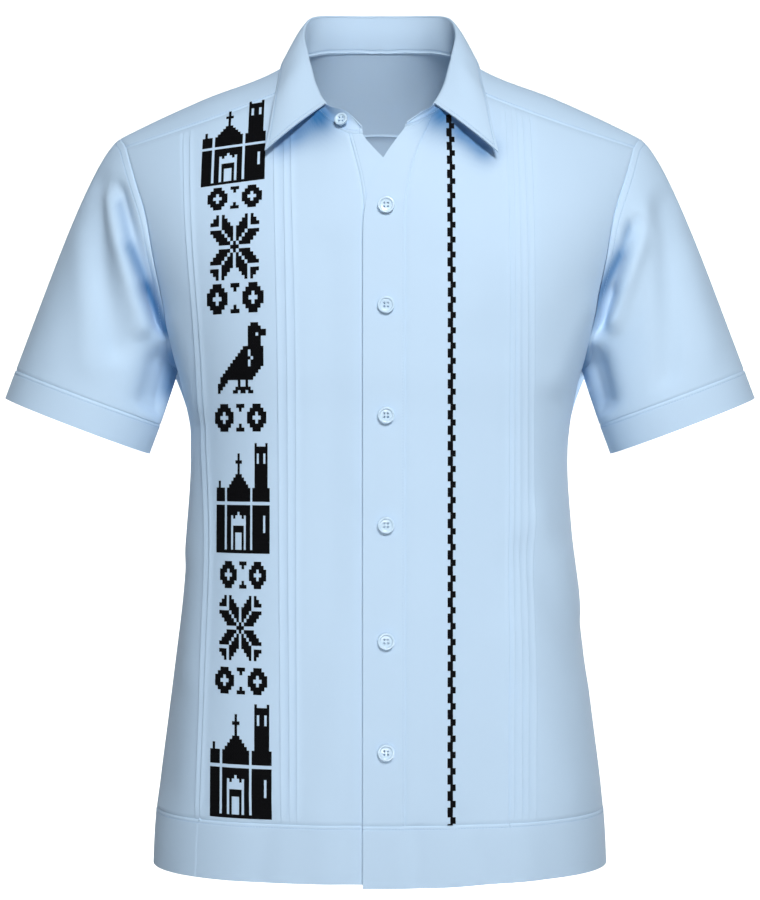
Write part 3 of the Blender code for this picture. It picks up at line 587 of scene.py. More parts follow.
def columnX(column, z):
    turn = edgeTurn(column["from"], z) * (1 - column["share"])
    turn += edgeTurn(column["to"], z) * column["share"]
    return atTurn(turn, z)


def seamX(column):
    x = columnX(column, -0.05)
    for _ in range(6):
        x = columnX(column, frontSeamPoint(x).z)
    return x


def frontColumns(side):
    tucks = frontPanel["tucksRight" if side < 0 else "tucksLeft"]
    shape = frontPanel["tuckShape"]
    first, last = shape[0][0], shape[-1][0]
    corner = 0.8 if side < 0 else 0.5
    columns = []

    def add(start, end, share, height=0.0, tuck=None, inner=False):
        columns.append({"from": start, "to": end, "share": share, "height": height,
                        "tuck": tuck, "inner": inner})

    seam = rightSeam if side < 0 else leftSeam
    for share in spread(32, 0.058)[:-2]:
        add((seam, 0.0), (tucks[0], first), share, inner=True)
    for k, tuck in enumerate(tucks):
        for shift, height in shape:
            add((tuck, shift), (tuck, shift), 0.0, height, k)
        if k < len(tucks) - 1:
            wide = curve(tucks[k + 1], -0.4) - curve(tuck, -0.4)
            steps = max(frontPanel["betweenTucks"], round(wide / 0.0019))
            for n in range(1, steps):
                add((tuck, last), (tucks[k + 1], first), n / steps)
    for share in spread(26 if side < 0 else 32, 0.045)[2:]:
        add((tucks[-1], last), (None, 0.0), share)
    neck = neckRight if side < 0 else neckLeft
    begin = 13 if side < 0 else 12
    innermost = seamX(columns[[c["inner"] for c in columns].index(False)])
    for column in columns:
        share = column["share"]
        if column["inner"] and share <= corner:
            k = begin - (begin - 9) * share / corner
            column["top"] = onTop(side * curve(neck, k, 1), curve(neck, k, 2))
        elif column["inner"]:
            t = (share - corner) / (1 - corner)
            column["top"] = frontSeamPoint(side * (neckSeamX + (innermost - neckSeamX) * t))
        else:
            column["top"] = frontSeamPoint(side * seamX(column))
    columns[-1]["top"] = frontSeamPoint(side * frontEndX)
    return columns


frontHeights = sideHeights(frontEndZ, frontPanel["rowsAbove"], frontPanel["rowsBelow"])
frontShares = [(z - form["hemSeam"]) / (frontEndZ - form["hemSeam"]) for z in frontHeights]


def frontRows(side):
    columns = frontColumns(side)
    rows = []
    for sideZ, share in zip(frontHeights, frontShares):
        row = []
        for column in columns:
            top = column["top"]
            if column is columns[-1]:
                row.append(armholePoint(side, sideZ, -1) if share < 1 else top.copy())
                continue
            if share == 1:
                row.append(top.copy())
                continue
            z = form["hemSeam"] + (top.z - form["hemSeam"]) * share
            x = columnX(column, z)
            x += (abs(top.x) - columnX(column, top.z)) * ramp(0.72, 1.0, share)
            p = lapped(onBody(side * x, z, -1), side)
            if column["height"]:
                rise = ramp(0.0, 0.02, share) * ramp(1.0, 0.98, share) * column["height"]
                if side > 0 and column["tuck"] == frontPanel["latecomer"]:
                    rise *= ramp(*frontPanel["latecomerStarts"], z)
                out = Vector((p.x * 0.5, p.y, 0)).normalized()
                p = p + out * frontPanel["tuckHeight"] * rise
            row.append(p)
        rows.append(row)
    return rows


def drapedRows(rows, side=None):
    return [[draped(p, side) for p in row] for row in rows]


rightRows, leftRows = frontRows(-1), frontRows(1)
layCloth("frontRight", drapedRows(rightRows, -1), heartOfBody, seams="btlr",
         nodes=("front_right",),
         hollows=frontPanel["hollows"])
layCloth("frontLeft", drapedRows(leftRows, -1), heartOfBody, seams="btlr",
         nodes=("front_left",),
         hollows=frontPanel["hollows"])


# ---- front edge strips
# seamLine is the distance of the stitches from the sewn edge, here and below
placket = {"steps": 14, "neckFrom": 14, "neckTo": 12, "seamLine": 0.0020}
buttonBand = {"steps": 12, "neckFrom": 13, "neckTo": 14, "seamLine": 0.0026}


def signed(rows):
    return tuple((z, -x) for z, x in rows)


def stripRows(low, high, neck, strip, side, shares):
    rows = []
    for share in frontShares:
        row = []
        for t in shares:
            k = strip["neckFrom"] + (strip["neckTo"] - strip["neckFrom"]) * t
            top = onTop(side * curve(neck, k, 1), curve(neck, k, 2))
            z = form["hemSeam"] + (top.z - form["hemSeam"]) * share
            x = curve(low, z) * (1 - t) + curve(high, z) * t
            straight = curve(low, top.z) * (1 - t) + curve(high, top.z) * t
            x += (top.x - straight) * ramp(0.72, 1.0, share)
            row.append(top if share == 1 else lapped(onBody(x, z, -1), side))
        rows.append(row)
    return rows


placketRows = stripRows(leftEdge, leftSeam, neckLeft, placket, 1,
                        spread(placket["steps"], 0.036))
bandRows = stripRows(signed(rightSeam), rightEdge, neckRight, buttonBand, -1,
                     spread(buttonBand["steps"], 0.034))
layCloth("placketCloth", drapedRows(placketRows, -1), heartOfBody, form["doubleThick"],
         seams="btr", nodes=("placket",),
         sewn={"right": placket["seamLine"]}, hollows=frontPanel["hollows"])
layCloth("buttonBand", drapedRows(bandRows, -1), heartOfBody, form["doubleThick"],
         seams="btl", nodes=("button_band",),
         sewn={"left": buttonBand["seamLine"]}, hollows=frontPanel["hollows"])


# ---- back
backPanel = {"columns": 46, "rowsBelow": 80, "rowsAbove": 40}
backHeights = sideHeights(backEndZ, backPanel["rowsAbove"], backPanel["rowsBelow"])


def backRows():
    shares = spread(backPanel["columns"], 0.25)
    shares = [0.0] + [s for s in shares if s > 0.02]
    places = [(-1, s) for s in shares[:0:-1]] + [(1, s) for s in shares]
    rows = []
    for sideZ in backHeights:
        share = (sideZ - form["hemSeam"]) / (backEndZ - form["hemSeam"])
        row = []
        for side, t in places:
            top = backSeamPoint(side * backEndX * t)
            if share == 1:
                row.append(top)
                continue
            if t == 1.0:
                row.append(armholePoint(side, sideZ, 1))
                continue
            z = form["hemSeam"] + (top.z - form["hemSeam"]) * share
            edge = halfWidth(z) if z < form["armpit"] else curve(armholeBack, z)
            x = atTurn(math.pi / 2 + (turnOf(edge, z) - math.pi / 2) * t, z)
            x += (abs(top.x) - x) * ramp(0.6, 1.0, share)
            row.append(onBody(side * x, z, 1))
        rows.append(row)
    return rows


backPoints = backRows()
layCloth("backCloth", drapedRows(backPoints, 1), heartOfBody, seams="btlr",
         nodes=("back",))


# ---- yoke, in one piece over both shoulders
yoke = {"columns": 62, "rows": 34, "seamLine": 0.0020}


def yokeRows():
    halves = []
    downs = spread(yoke["rows"], 0.10)
    for side in (-1, 1):
        ends = [(curve(neckBack, 9 * k / 70, 1), curve(neckBack, 9 * k / 70, 2))
                for k in range(71)]
        for k in range(1, 61):
            x = neckSeamX + (frontEndX - neckSeamX) * k / 60
            ends.append((x, rollOf(x, frontSeamPoint(x).z)))
        length = [0.0]
        for one, two in zip(ends, ends[1:]):
            length.append(length[-1] + (onTop(*two) - onTop(*one)).length)
        columns = []
        shares = [0.0] + [s for s in spread(yoke["columns"], length[-1]) if s > 0.012]
        for t in shares:
            want = t * length[-1]
            k = max(i for i in range(len(length) - 1) if length[i] <= want + 1e-9)
            part = (want - length[k]) / (length[k + 1] - length[k])
            xEnd = ends[k][0] + (ends[k + 1][0] - ends[k][0]) * part
            rollEnd = ends[k][1] + (ends[k + 1][1] - ends[k][1]) * part
            xStart = backEndX * t ** 0.8
            rollStart = -rollOf(xStart, backSeamPoint(xStart).z)
            swell = ramp(0.80, 1.0, t)
            column = []
            for u in downs:
                x = xStart + (xEnd - xStart) * u
                roll = rollStart + (rollEnd - rollStart) * u
                x += (curve(armholeTop, 6 * u, 1) - (backEndX + 0.0085 * u)) * swell
                roll += (curve(armholeTop, 6 * u, 2)
                         - (armholeTop[0][2] + (armholeTop[6][2] - armholeTop[0][2]) * u)) * swell
                p = onTop(side * x, roll)
                if u == 0:
                    p = backSeamPoint(side * xStart)
                column.append(p)
            columns.append(column)
        halves.append(columns)
    columns = halves[0][:0:-1] + halves[1]
    return [[column[j] for column in columns] for j in range(len(downs))]


def onYoke(p):
    return Vector((p.x * 0.9, 0, -0.20))


layCloth("yokeCloth", drapedRows(yokeRows()), onYoke, seams="btlr",
         nodes=("yoke",))


# ---- hem bands
hemBand = {"rows": 12, "seamLine": 0.0027,
           "droop": 0.0032}     # the left front hangs a little lower at its edge


def hemRows(row, facing, droop=0.0):
    rows = []
    for share in spread(hemBand["rows"], 0.05):
        z = form["hemSeam"] + (form["hem"] - form["hemSeam"]) * share
        line = []
        for p in row:
            grow = halfWidth(z) / halfWidth(form["hemSeam"])
            deep = depthAt(z, facing) / depthAt(form["hemSeam"], facing)
            sag = droop * ramp(0.15, 0.02, abs(p.x)) * share
            line.append(Vector((p.x * grow, p.y * deep, z - sag)))
        rows.append(line)
    return drapedRows(rows, facing)


hemLeft = placketRows[0][:-1] + leftRows[0]
hemRight = bandRows[0][:0:-1] + rightRows[0]
for name, row, facing, node, wide, droop in (
        ("hemBandLeft", hemLeft, -1, "hem_band_left", 0.290, hemBand["droop"]),
        ("hemBandRight", hemRight, -1, "hem_band_right", 0.295, 0.0),
        ("hemBandBack", backPoints[0], 1, "hem_band_back", 0.53, 0.0)):
    layCloth(name, hemRows(row, facing, droop), heartOfBody, form["doubleThick"],
             seams="b", nodes=(node,),
             sewn={"bottom": hemBand["seamLine"]})


# ---- sleeves and their bands
sleeve = {
    "lean": 20.5,                          # degrees from straight down
    "end": (0.2654, 0.0, -0.3032),         # middle of the band seam
    "halfAcross": 0.0695,
    "halfDepth": 0.060,
    "band": 0.0275,
    "around": (38, 34, 46),                # steps up the back, over the top, down the front
    "rows": 60,
    "seamLine": 0.0068,                    # stitches beside the armhole
    "bandLine": 0.0030,                    # stitches beside the band seam
    # painted shade beside the armhole, where the sleeve goes behind the body: from x, z, to x, z,
    # half width, strength of the painted shade
    "hollowsRight": (
        (-0.2330, -0.1280, -0.2230, -0.1660, 0.0046, 0.36),
        (-0.2230, -0.1670, -0.2070, -0.2050, 0.0060, 0.70),
        (-0.2080, -0.2040, -0.1890, -0.2500, 0.0066, 0.95),
        (-0.1860, -0.2560, -0.1900, -0.3060, 0.0125, 0.80),
    ),
    "hollowsLeft": (
        (0.2215, -0.1500, 0.2150, -0.1720, 0.0045, 0.45),
        (0.2150, -0.1730, 0.1970, -0.2085, 0.0060, 0.85),
        (0.1970, -0.2080, 0.1840, -0.2450, 0.0062, 0.80),
        (0.1820, -0.2540, 0.1840, -0.2900, 0.0085, 0.80),
        (0.1860, -0.2900, 0.1980, -0.3150, 0.0120, 0.45),
    ),
    # soft folds: facing, from x, z, to x, z, half width, height out (+) or in (-)
    "foldsRight": (
        (-1, 0.2370, -0.114, 0.1880, -0.246, 0.0075, -0.0075),
        (-1, 0.2080, -0.208, 0.1920, -0.244, 0.0085, -0.0045),
        (-1, 0.2310, -0.160, 0.2080, -0.245, 0.0075, 0.0030),
        (-1, 0.2440, -0.118, 0.2130, -0.250, 0.0085, 0.0044),
        (-1, 0.2520, -0.105, 0.2500, -0.180, 0.0115, -0.0046),
        (-1, 0.2490, -0.182, 0.2320, -0.270, 0.0115, -0.0046),
        (-1, 0.1900, -0.262, 0.2040, -0.318, 0.0150, -0.0100),
        (-1, 0.2700, -0.150, 0.2560, -0.285, 0.0120, 0.0018),
        (1, 0.2330, -0.122, 0.1990, -0.224, 0.0080, -0.0070),
        (1, 0.2440, -0.122, 0.2120, -0.248, 0.0090, 0.0030),
        (1, 0.2560, -0.130, 0.2350, -0.270, 0.0110, -0.0034),
        (1, 0.2000, -0.266, 0.2180, -0.305, 0.0120, -0.0030),
    ),
    "foldsLeft": (
        (-1, 0.2280, -0.146, 0.1880, -0.246, 0.0075, -0.0075),
        (-1, 0.2060, -0.208, 0.1920, -0.244, 0.0085, -0.0045),
        (-1, 0.2310, -0.165, 0.2080, -0.245, 0.0075, 0.0030),
        (-1, 0.2360, -0.130, 0.2060, -0.240, 0.0085, 0.0030),
        (-1, 0.2560, -0.120, 0.2560, -0.300, 0.0120, -0.0042),
        (-1, 0.1880, -0.264, 0.2000, -0.316, 0.0120, -0.0100),
        (-1, 0.2780, -0.165, 0.2960, -0.285, 0.0120, 0.0016),
        (1, 0.2300, -0.126, 0.1980, -0.228, 0.0080, -0.0070),
        (1, 0.2430, -0.126, 0.2140, -0.246, 0.0090, 0.0030),
        (1, 0.2580, -0.126, 0.2500, -0.290, 0.0120, -0.0032),
        (1, 0.1960, -0.268, 0.2140, -0.308, 0.0120, -0.0030),
    ),
}


def sleeveFrame(side):
    lean = math.radians(sleeve["lean"])
    down = Vector((side * math.sin(lean), 0, -math.cos(lean)))
    out = Vector((side * math.cos(lean), 0, math.sin(lean)))
    middle = Vector((side * sleeve["end"][0], 0, sleeve["end"][2]))
    return down, out, middle


def armholeRing(side):
    back, over, front = sleeve["around"]
    low = form["armpit"]
    ring = []
    for k in range(back):
        z = low + (backEndZ - low) * (k / back) ** 1.6
        ring.append((armholePoint(side, z, 1), 1))
    for k in range(over):
        u = 6 * k / over
        ring.append((onTop(side * curve(armholeTop, u, 1), curve(armholeTop, u, 2)),
                     1 if u < 3.8 else -1))
    for k in range(front, 0, -1):
        z = low + (frontEndZ - low) * (k / front) ** 1.6
        ring.append((armholePoint(side, z, -1), -1))
    return [draped(p, facing) for p, facing in ring]


def sleeveRows(side):
    down, out, middle = sleeveFrame(side)
    loop = armholeRing(side)
    peak = max(range(len(loop)), key=lambda k: loop[k].z)
    length = [0.0]
    for k in range(1, len(loop) + 1):
        length.append(length[-1] + (loop[k % len(loop)] - loop[k - 1]).length)
    lines = []
    for k, p in enumerate(loop):
        if k <= peak:
            turn, facing = math.pi * (1 - length[k] / length[peak]), 1
        else:
            turn, facing = math.pi * (length[k] - length[peak]) / (length[-1] - length[peak]), -1
        end = middle + out * math.cos(turn) * sleeve["halfAcross"]
        end.y = facing * math.sin(turn) * sleeve["halfDepth"]
        top = (1 + math.cos(turn)) / 2
        away = down * (1 - top) + (out * 0.585 + down * 0.81) * top
        reach = (end - p).length
        first = p + away.normalized() * reach * (0.16 - 0.035 * top)
        if p.y < 0:
            first.y += 0.010 * ramp(0.5, 0.1, top)
        first.y += (0.006 if p.y > 0 else -0.006) * ramp(0.3, 0.6, top) * ramp(1, 0.8, top)
        lines.append((p, first, end - down * reach * 0.42, end, turn, facing))
    folds = sleeve["foldsRight" if side < 0 else "foldsLeft"]
    rows = []
    for t in spread(sleeve["rows"], 0.19):
        row = []
        for p, first, second, end, turn, facing in lines:
            a, b, c, d = (1 - t) ** 3, 3 * t * (1 - t) ** 2, 3 * t * t * (1 - t), t ** 3
            q = p * a + first * b + second * c + end * d
            along = (q - middle).dot(down)
            radial = (q - middle - down * along).normalized()
            lift = 0.0
            for foldFacing, *stroke in folds:
                if foldFacing == facing:
                    lift += strokeHeight(abs(q.x), q.z, *stroke)
            lift *= ramp(0.0, 0.07, t) * ramp(1.0, 0.86, t) * ramp(0.0, 0.016, abs(q.y))
            if t in (0.0, 1.0):
                lift -= form["seamDip"]
            row.append(q + radial * lift)
        row.append(row[0].copy())
        rows.append(row)
    return rows


def sleeveHeart(side):
    down, out, middle = sleeveFrame(side)
    return lambda p: middle + down * (p - middle).dot(down)


sleeveEnds, sleeveCloth = {}, {}
for side, word, node in ((-1, "Right", "right"), (1, "Left", "left")):
    rows = sleeveRows(side)
    down = sleeveFrame(side)[0]
    layCloth("sleeve" + word, rows, sleeveHeart(side), tube=True,
             nodes=("sleeve_" + node,),
             sewn={"bottom": sleeve["seamLine"]}, hollows=sleeve["hollows" + word])
    sleeveCloth[side] = rows
    near = rows[-2]
    bandTops = [rows[-1], [p + down * form["seamNear"] * 2 for p in near]]
    for k in range(1, 10):
        bandTops.append([p + down * (form["seamNear"] + sleeve["band"] * k / 9) for p in near])
    sleeveEnds[side] = bandTops
    layCloth("sleeveBand" + word, bandTops, sleeveHeart(side), form["doubleThick"],
             tube=True, nodes=("sleeve_band_" + node,),
             sewn={"bottom": sleeve["bandLine"]})


# ---- collar stand and leaf
collar = {
    "stepsEach": 6,               # columns between two table rows
    "standRows": 16,
    "leafRows": 26,
    "leafLift": 0.0036,           # leaf edge above the body
    "pointLift": 0.0060,          # and how much more at the front
    "widerLeft": 0.0026,          # the left point reaches a little further out
    "foldRound": 0.0075,          # how full the roll along the fold is
    "foldShare": 0.12,
    "thick": 0.0013,
    "standLine": 0.0030,          # stitches from the edges of the stand
    "leafLine": 0.0036,           # and from the edges of the leaf
}
# top edge of the stand from the middle of the back: step, x, y, z
standTop = (
    (0, 0.0000, 0.0500, 0.0517), (1, 0.0210, 0.0485, 0.0514), (2, 0.0400, 0.0415, 0.0503),
    (3, 0.0550, 0.0300, 0.0478), (4, 0.0635, 0.0150, 0.0425), (5, 0.0675, 0.0000, 0.0335),
    (6, 0.0685, -0.0130, 0.0235), (7, 0.0670, -0.0260, 0.0130), (8, 0.0645, -0.0370, 0.0025),
    (9, 0.0630, -0.0440, -0.0050), (10, 0.0610, -0.0500, -0.0125),
    (11, 0.0560, -0.0640, -0.0310), (12, 0.0465, -0.0810, -0.0495),
)
standTopRight = standTop + ((13, 0.0300, -0.0930, -0.0567), (14, 0.0160, -0.0990, -0.0705))
standTopLeft = standTop + ((13, 0.0360, -0.0905, -0.0572), (14, 0.0235, -0.0960, -0.0668))
# outer edge of the leaf: step, distance from the middle, roll angle over the body
leafEdge = (
    (0, 0.0000, -46.8), (1, 0.0230, -45.6), (2, 0.0450, -40.6), (3, 0.0620, -30.6),
    (4, 0.0745, -18.0), (5, 0.0820, -6.0), (6, 0.0855, 5.0), (7, 0.0873, 15.0),
    (8, 0.0885, 24.0), (9, 0.0893, 30.5), (10, 0.0905, 37.0), (11, 0.0935, 48.0),
    (12, 0.0973, 55.5),
)


def mirroredStart(rows):     # so that a half curve leaves the middle of the back smoothly
    return ((-1, -rows[1][1]) + tuple(rows[1][2:]),) + tuple(rows)


def neckAt(k):
    side = -1 if k < 0 else 1
    rows = mirroredStart(neckRight if k < 0 else neckLeft)
    return onTop(side * curve(rows, abs(k), 1), curve(rows, abs(k), 2))


def standTopAt(k):
    side = -1 if k < 0 else 1
    rows = mirroredStart(standTopRight if k < 0 else standTopLeft)
    return Vector((side * curve(rows, abs(k), 1), curve(rows, abs(k), 2),
                   curve(rows, abs(k), 3)))


def leafEdgeAt(k):
    side = -1 if k < 0 else 1
    rows = mirroredStart(leafEdge)
    x, roll = curve(rows, abs(k), 1), curve(rows, abs(k), 2)
    x += collar["widerLeft"] * ramp(8, 12, k)
    over = onTop(side * x, roll + 1.0) - onTop(side * x, roll - 1.0)
    along = onTop(side * (x + 0.002), roll) - onTop(side * (x - 0.002), roll)
    normal = over.cross(along).normalized()
    if normal.z < 0:
        normal = -normal
    lift = collar["leafLift"] + collar["pointLift"] * ramp(8, 12, abs(k))
    return onTop(side * x, roll) + normal * lift


def leafPoint(k, t):
    fold = standTopAt(k)
    edge = leafEdgeAt(k)
    start = fold + Vector((0, 0, 0.0016))
    way = edge - start
    bend = start + Vector((way.x, way.y, 0)) * 0.42 + Vector((0, 0, 0.0035 + way.z * 0.10))
    straight = start + way * 0.45 + Vector((way.x, way.y, 0)).normalized() * 0.002
    straight.y -= 0.010
    bend = bend.lerp(straight, ramp(8, 12, abs(k)))
    if t >= collar["foldShare"]:
        return start * (1 - t) ** 2 + bend * 2 * t * (1 - t) + edge * t * t
    last = collar["foldShare"]
    join = start * (1 - last) ** 2 + bend * 2 * last * (1 - last) + edge * last * last
    leave = ((bend - start) * 2 * (1 - last) + (edge - bend) * 2 * last) * last
    s = t / last
    rise = Vector((0, 0, collar["foldRound"]))
    return ((fold + Vector((0, 0, 0.0003))) * (2 * s ** 3 - 3 * s ** 2 + 1)
            + rise * (s ** 3 - 2 * s ** 2 + s) + join * (3 * s ** 2 - 2 * s ** 3)
            + leave * (s ** 3 - s ** 2))


def standRows():
    steps = collar["stepsEach"]
    places = [k / steps for k in range(-14 * steps, 14 * steps + 1)]
    rows = []
    for t in spread(collar["standRows"], 0.04):
        row = []
        for k in places:
            low, high = neckAt(k), standTopAt(k)
            p = low.lerp(high, t)
            out = Vector((p.x, p.y, 0)).normalized()
            row.append(p - out * 0.0020 * math.sin(math.pi * t))
        rows.append(row)
    return rows


def leafRows():
    steps = collar["stepsEach"]
    places = [k / steps for k in range(-12 * steps, 12 * steps + 1)]
    shares = [collar["foldShare"] * k / 7 for k in range(7)]
    shares += [collar["foldShare"] + (1 - collar["foldShare"]) * k / collar["leafRows"]
               for k in range(collar["leafRows"] + 1)]
    return [[leafPoint(k, t) for k in places] for t in shares]


def inCollar(p):
    return Vector((0, -0.01, p.z - 0.03))


standPoints, leafPoints = standRows(), leafRows()
layCloth("collarStand", standPoints, lambda p: Vector((0, -0.01, p.z + 0.02)),
         collar["thick"], seams="b",
         nodes=("collar_stand",), hollows=frontPanel["hollows"][::2],
         sewn=dict.fromkeys(("bottom", "left", "right"), collar["standLine"]))
layCloth("collarLeaf", leafPoints, inCollar, collar["thick"],
         nodes=("collar_leaf",),
         sewn=dict.fromkeys(("top", "left", "right"), collar["leafLine"]))


# ---- joined pieces made of many small copies
def joinCopies(name, corners, faces, material, smooth=True):
    body = bpy.data.meshes.new(name)
    body.from_pydata([tuple(c) for c in corners], [], faces)
    body.update()
    piece = bpy.data.objects.new(name, body)
    bpy.context.collection.objects.link(piece)
    piece.data.materials.append(material)
    if smooth:
        piece.data.polygons.foreach_set("use_smooth", [True] * len(body.polygons))
    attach(piece, "root")
    print("joined:", name, sum(len(f) - 2 for f in faces), "triangles")
    return piece


# ---- topstitching
stitch = {
    "length": 0.0019, "pitch": 0.0027, "wide": 0.00034, "high": 0.00026,
    "onCloth": 0.00036, "onBand": 0.00056, "onCollar": 0.00072,     # height over the middle
}


def lineBeside(rows, edge, distance, heart, keep=None, trim=0.0, inside=False):
    if edge in ("left", "right"):
        lines = [row if edge == "left" else row[::-1] for row in rows]
    else:
        lines = [[row[i] for row in rows] for i in range(len(rows[0]))]
        lines = lines if edge == "bottom" else [line[::-1] for line in lines]
    found = []
    for line in lines:
        walked = 0.0
        for a, b in zip(line, line[1:]):
            step = (b - a).length
            if step > 0 and walked + step >= distance:
                p = a.lerp(b, (distance - walked) / step)
                found.append((p, (b - a).normalized()))
                break
            walked += step
    points = []
    for k, (p, way) in enumerate(found):
        ahead = found[min(k + 1, len(found) - 1)][0] - found[max(k - 1, 0)][0]
        normal = ahead.cross(way).normalized()
        if normal.dot(p - heart(p)) < 0:
            normal = -normal
        points.append((p, -normal if inside else normal))
    if keep:
        points = [(p, n) for p, n in points if keep(p)]
    if trim:
        total = sum((b[0] - a[0]).length for a, b in zip(points, points[1:]))
        walked, kept = 0.0, []
        for k, point in enumerate(points):
            if k:
                walked += (point[0] - points[k - 1][0]).length
            if trim <= walked <= total - trim:
                kept.append(point)
        points = kept
    return points


def sewRuns(name, runs, material, lift):
    corners, faces = [], []
    for points in runs:
        walked, want = 0.0, stitch["pitch"] / 2
        for (a, na), (b, nb) in zip(points, points[1:]):
            step = (b - a).length
            while step > 0 and walked + step >= want:
                t = (want - walked) / step
                centre, normal = a.lerp(b, t), na.lerp(nb, t).normalized()
                way = (b - a).normalized()
                aside = way.cross(normal).normalized()
                middle = centre + normal * lift
                base = len(corners)
                half = stitch["length"] / 2
                corners.append(middle - way * half)
                for share in (-0.55, 0.55):
                    at = middle + way * half * share
                    corners.extend((at + aside * stitch["wide"] / 2, at + normal * stitch["high"],
                                    at - aside * stitch["wide"] / 2, at - normal * stitch["high"]))
                corners.append(middle + way * half)
                for k in range(4):
                    n = (k + 1) % 4
                    faces.append((base, base + 1 + n, base + 1 + k))
                    faces.append((base + 1 + k, base + 1 + n, base + 5 + n, base + 5 + k))
                    faces.append((base + 9, base + 5 + k, base + 5 + n))
                want += stitch["pitch"]
            walked += step
    return joinCopies(name, corners, faces, material)


yokeCloth = drapedRows(yokeRows())
bodyRuns = [
    lineBeside(drapedRows(placketRows, -1), "right", placket["seamLine"], heartOfBody),
    lineBeside(drapedRows(bandRows, -1), "left", buttonBand["seamLine"], heartOfBody),
    lineBeside(yokeCloth, "bottom", yoke["seamLine"], onYoke),
    lineBeside(yokeCloth, "top", yoke["seamLine"], onYoke,
               lambda p: p.x > 0.069 and p.y < 0),     # outside the collar
    lineBeside(yokeCloth, "top", yoke["seamLine"], onYoke,
               lambda p: p.x < -0.069 and p.y < 0),
]
hemRuns = [lineBeside(hemRows(row, facing), "bottom", hemBand["seamLine"], heartOfBody)
           for row, facing in ((hemLeft, -1), (hemRight, -1), (backPoints[0], 1))]
for side in (-1, 1):
    hemRuns.append(lineBeside(sleeveEnds[side], "bottom", sleeve["bandLine"],
                              sleeveHeart(side)))
    bodyRuns.append(lineBeside(sleeveCloth[side], "bottom", sleeve["seamLine"],
                               sleeveHeart(side)))
sewRuns("bodyStitches", bodyRuns, blueThread, stitch["onCloth"])
sewRuns("bandStitches", hemRuns, blueThread, stitch["onBand"])
leafLine, standLine = collar["leafLine"], collar["standLine"]
collarRuns = [
    lineBeside(leafPoints, "top", leafLine, inCollar, trim=leafLine),
    lineBeside(leafPoints[8:], "left", leafLine, inCollar, trim=leafLine),
    lineBeside(leafPoints[8:], "right", leafLine, inCollar, trim=leafLine),
    lineBeside(standPoints, "bottom", standLine, inCollar, trim=standLine, inside=True),
    lineBeside(standPoints, "bottom", standLine, inCollar, trim=standLine),
    lineBeside(standPoints, "left", standLine, inCollar),
    lineBeside(standPoints, "right", standLine, inCollar),
]
sewRuns("collarStitches", collarRuns, blueThread, stitch["onCollar"])


# ---- buttons
buttons = {
    "radius": 0.0072,
    "standRadius": 0.0058,
    "thick": 0.0026,
    "rim": 0.0017,                # width of the raised rim
    "dish": 0.0009,
    "hole": 0.00088,
    "holeApart": 0.00155,
    "x": 0.0052,
    "heights": (-0.1414, -0.2270, -0.3211, -0.4152, -0.5144, -0.6093),
    "lift": 0.0012,               # underside above the middle of the cloth
    "standLift": 0.0030,
    "standUp": 0.42,              # how far up the stand its button sits
    "standIn": 0.30,              # and how far in from the last column but one
}


def makeButton(name, place, normal, radius, node):
    bpy.ops.object.select_all(action="DESELECT")
    bpy.ops.mesh.primitive_cylinder_add(vertices=64, radius=radius, depth=buttons["thick"],
                                        location=(0, 0, buttons["thick"] / 2))
    piece = bpy.context.object
    piece.name = piece.data.name = name
    bpy.ops.object.transform_apply(location=True, rotation=True, scale=True)
    bpy.ops.object.mode_set(mode="EDIT")
    bpy.ops.mesh.select_all(action="DESELECT")
    bpy.ops.object.mode_set(mode="OBJECT")
    for face in piece.data.polygons:
        face.select = face.normal.z > 0.9
    bpy.ops.object.mode_set(mode="EDIT")
    bpy.ops.mesh.select_mode(type="FACE")
    bpy.ops.mesh.inset(thickness=buttons["rim"])
    bpy.ops.mesh.inset(thickness=0.0005, depth=-buttons["dish"])
    bpy.ops.mesh.inset(thickness=(radius - buttons["rim"] - 0.0005) * 0.55, depth=-0.0001)
    bpy.ops.object.mode_set(mode="OBJECT")
    soft = piece.modifiers.new("softEdges", "BEVEL")
    soft.width = 0.00042
    soft.segments = 3
    soft.limit_method = "ANGLE"
    soft.angle_limit = math.radians(25)
    bpy.ops.object.modifier_apply(modifier="softEdges")
    drills = []
    for sx in (-1, 1):
        for sy in (-1, 1):
            bpy.ops.object.select_all(action="DESELECT")
            bpy.ops.mesh.primitive_cylinder_add(
                vertices=16, radius=buttons["hole"], depth=0.01,
                location=(sx * buttons["holeApart"], sy * buttons["holeApart"], 0.001))
            drills.append(bpy.context.object)
    for drill in drills:
        bpy.ops.object.select_all(action="DESELECT")
        piece.select_set(True)
        bpy.context.view_layer.objects.active = piece
        cut = piece.modifiers.new("hole", "BOOLEAN")
        cut.operation = "DIFFERENCE"
        cut.object = drill
        bpy.ops.object.modifier_apply(modifier="hole")
        bpy.data.objects.remove(drill, do_unlink=True)
    bpy.ops.object.shade_smooth_by_angle(angle=math.radians(40))
    up = Vector((0, 0, 1))
    along = (up - up.dot(normal) * normal).normalized()
    over = along.cross(normal)
    for corner in piece.data.vertices:
        c = corner.co.copy()
        corner.co = place + over * c.x + along * c.y + normal * c.z
    piece.data.materials.append(buttonBlue)
    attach(piece, "root")
    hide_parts(node)
    return piece


def bodyPoint(x, z, lapSide):
    return draped(lapped(onBody(x, z, -1), lapSide), -1)


def bodyNormal(x, z, lapSide):
    a = bodyPoint(x + 0.001, z, lapSide) - bodyPoint(x - 0.001, z, lapSide)
    b = bodyPoint(x, z + 0.001, lapSide) - bodyPoint(x, z - 0.001, lapSide)
    normal = a.cross(b).normalized()
    return normal if normal.y < 0 else -normal


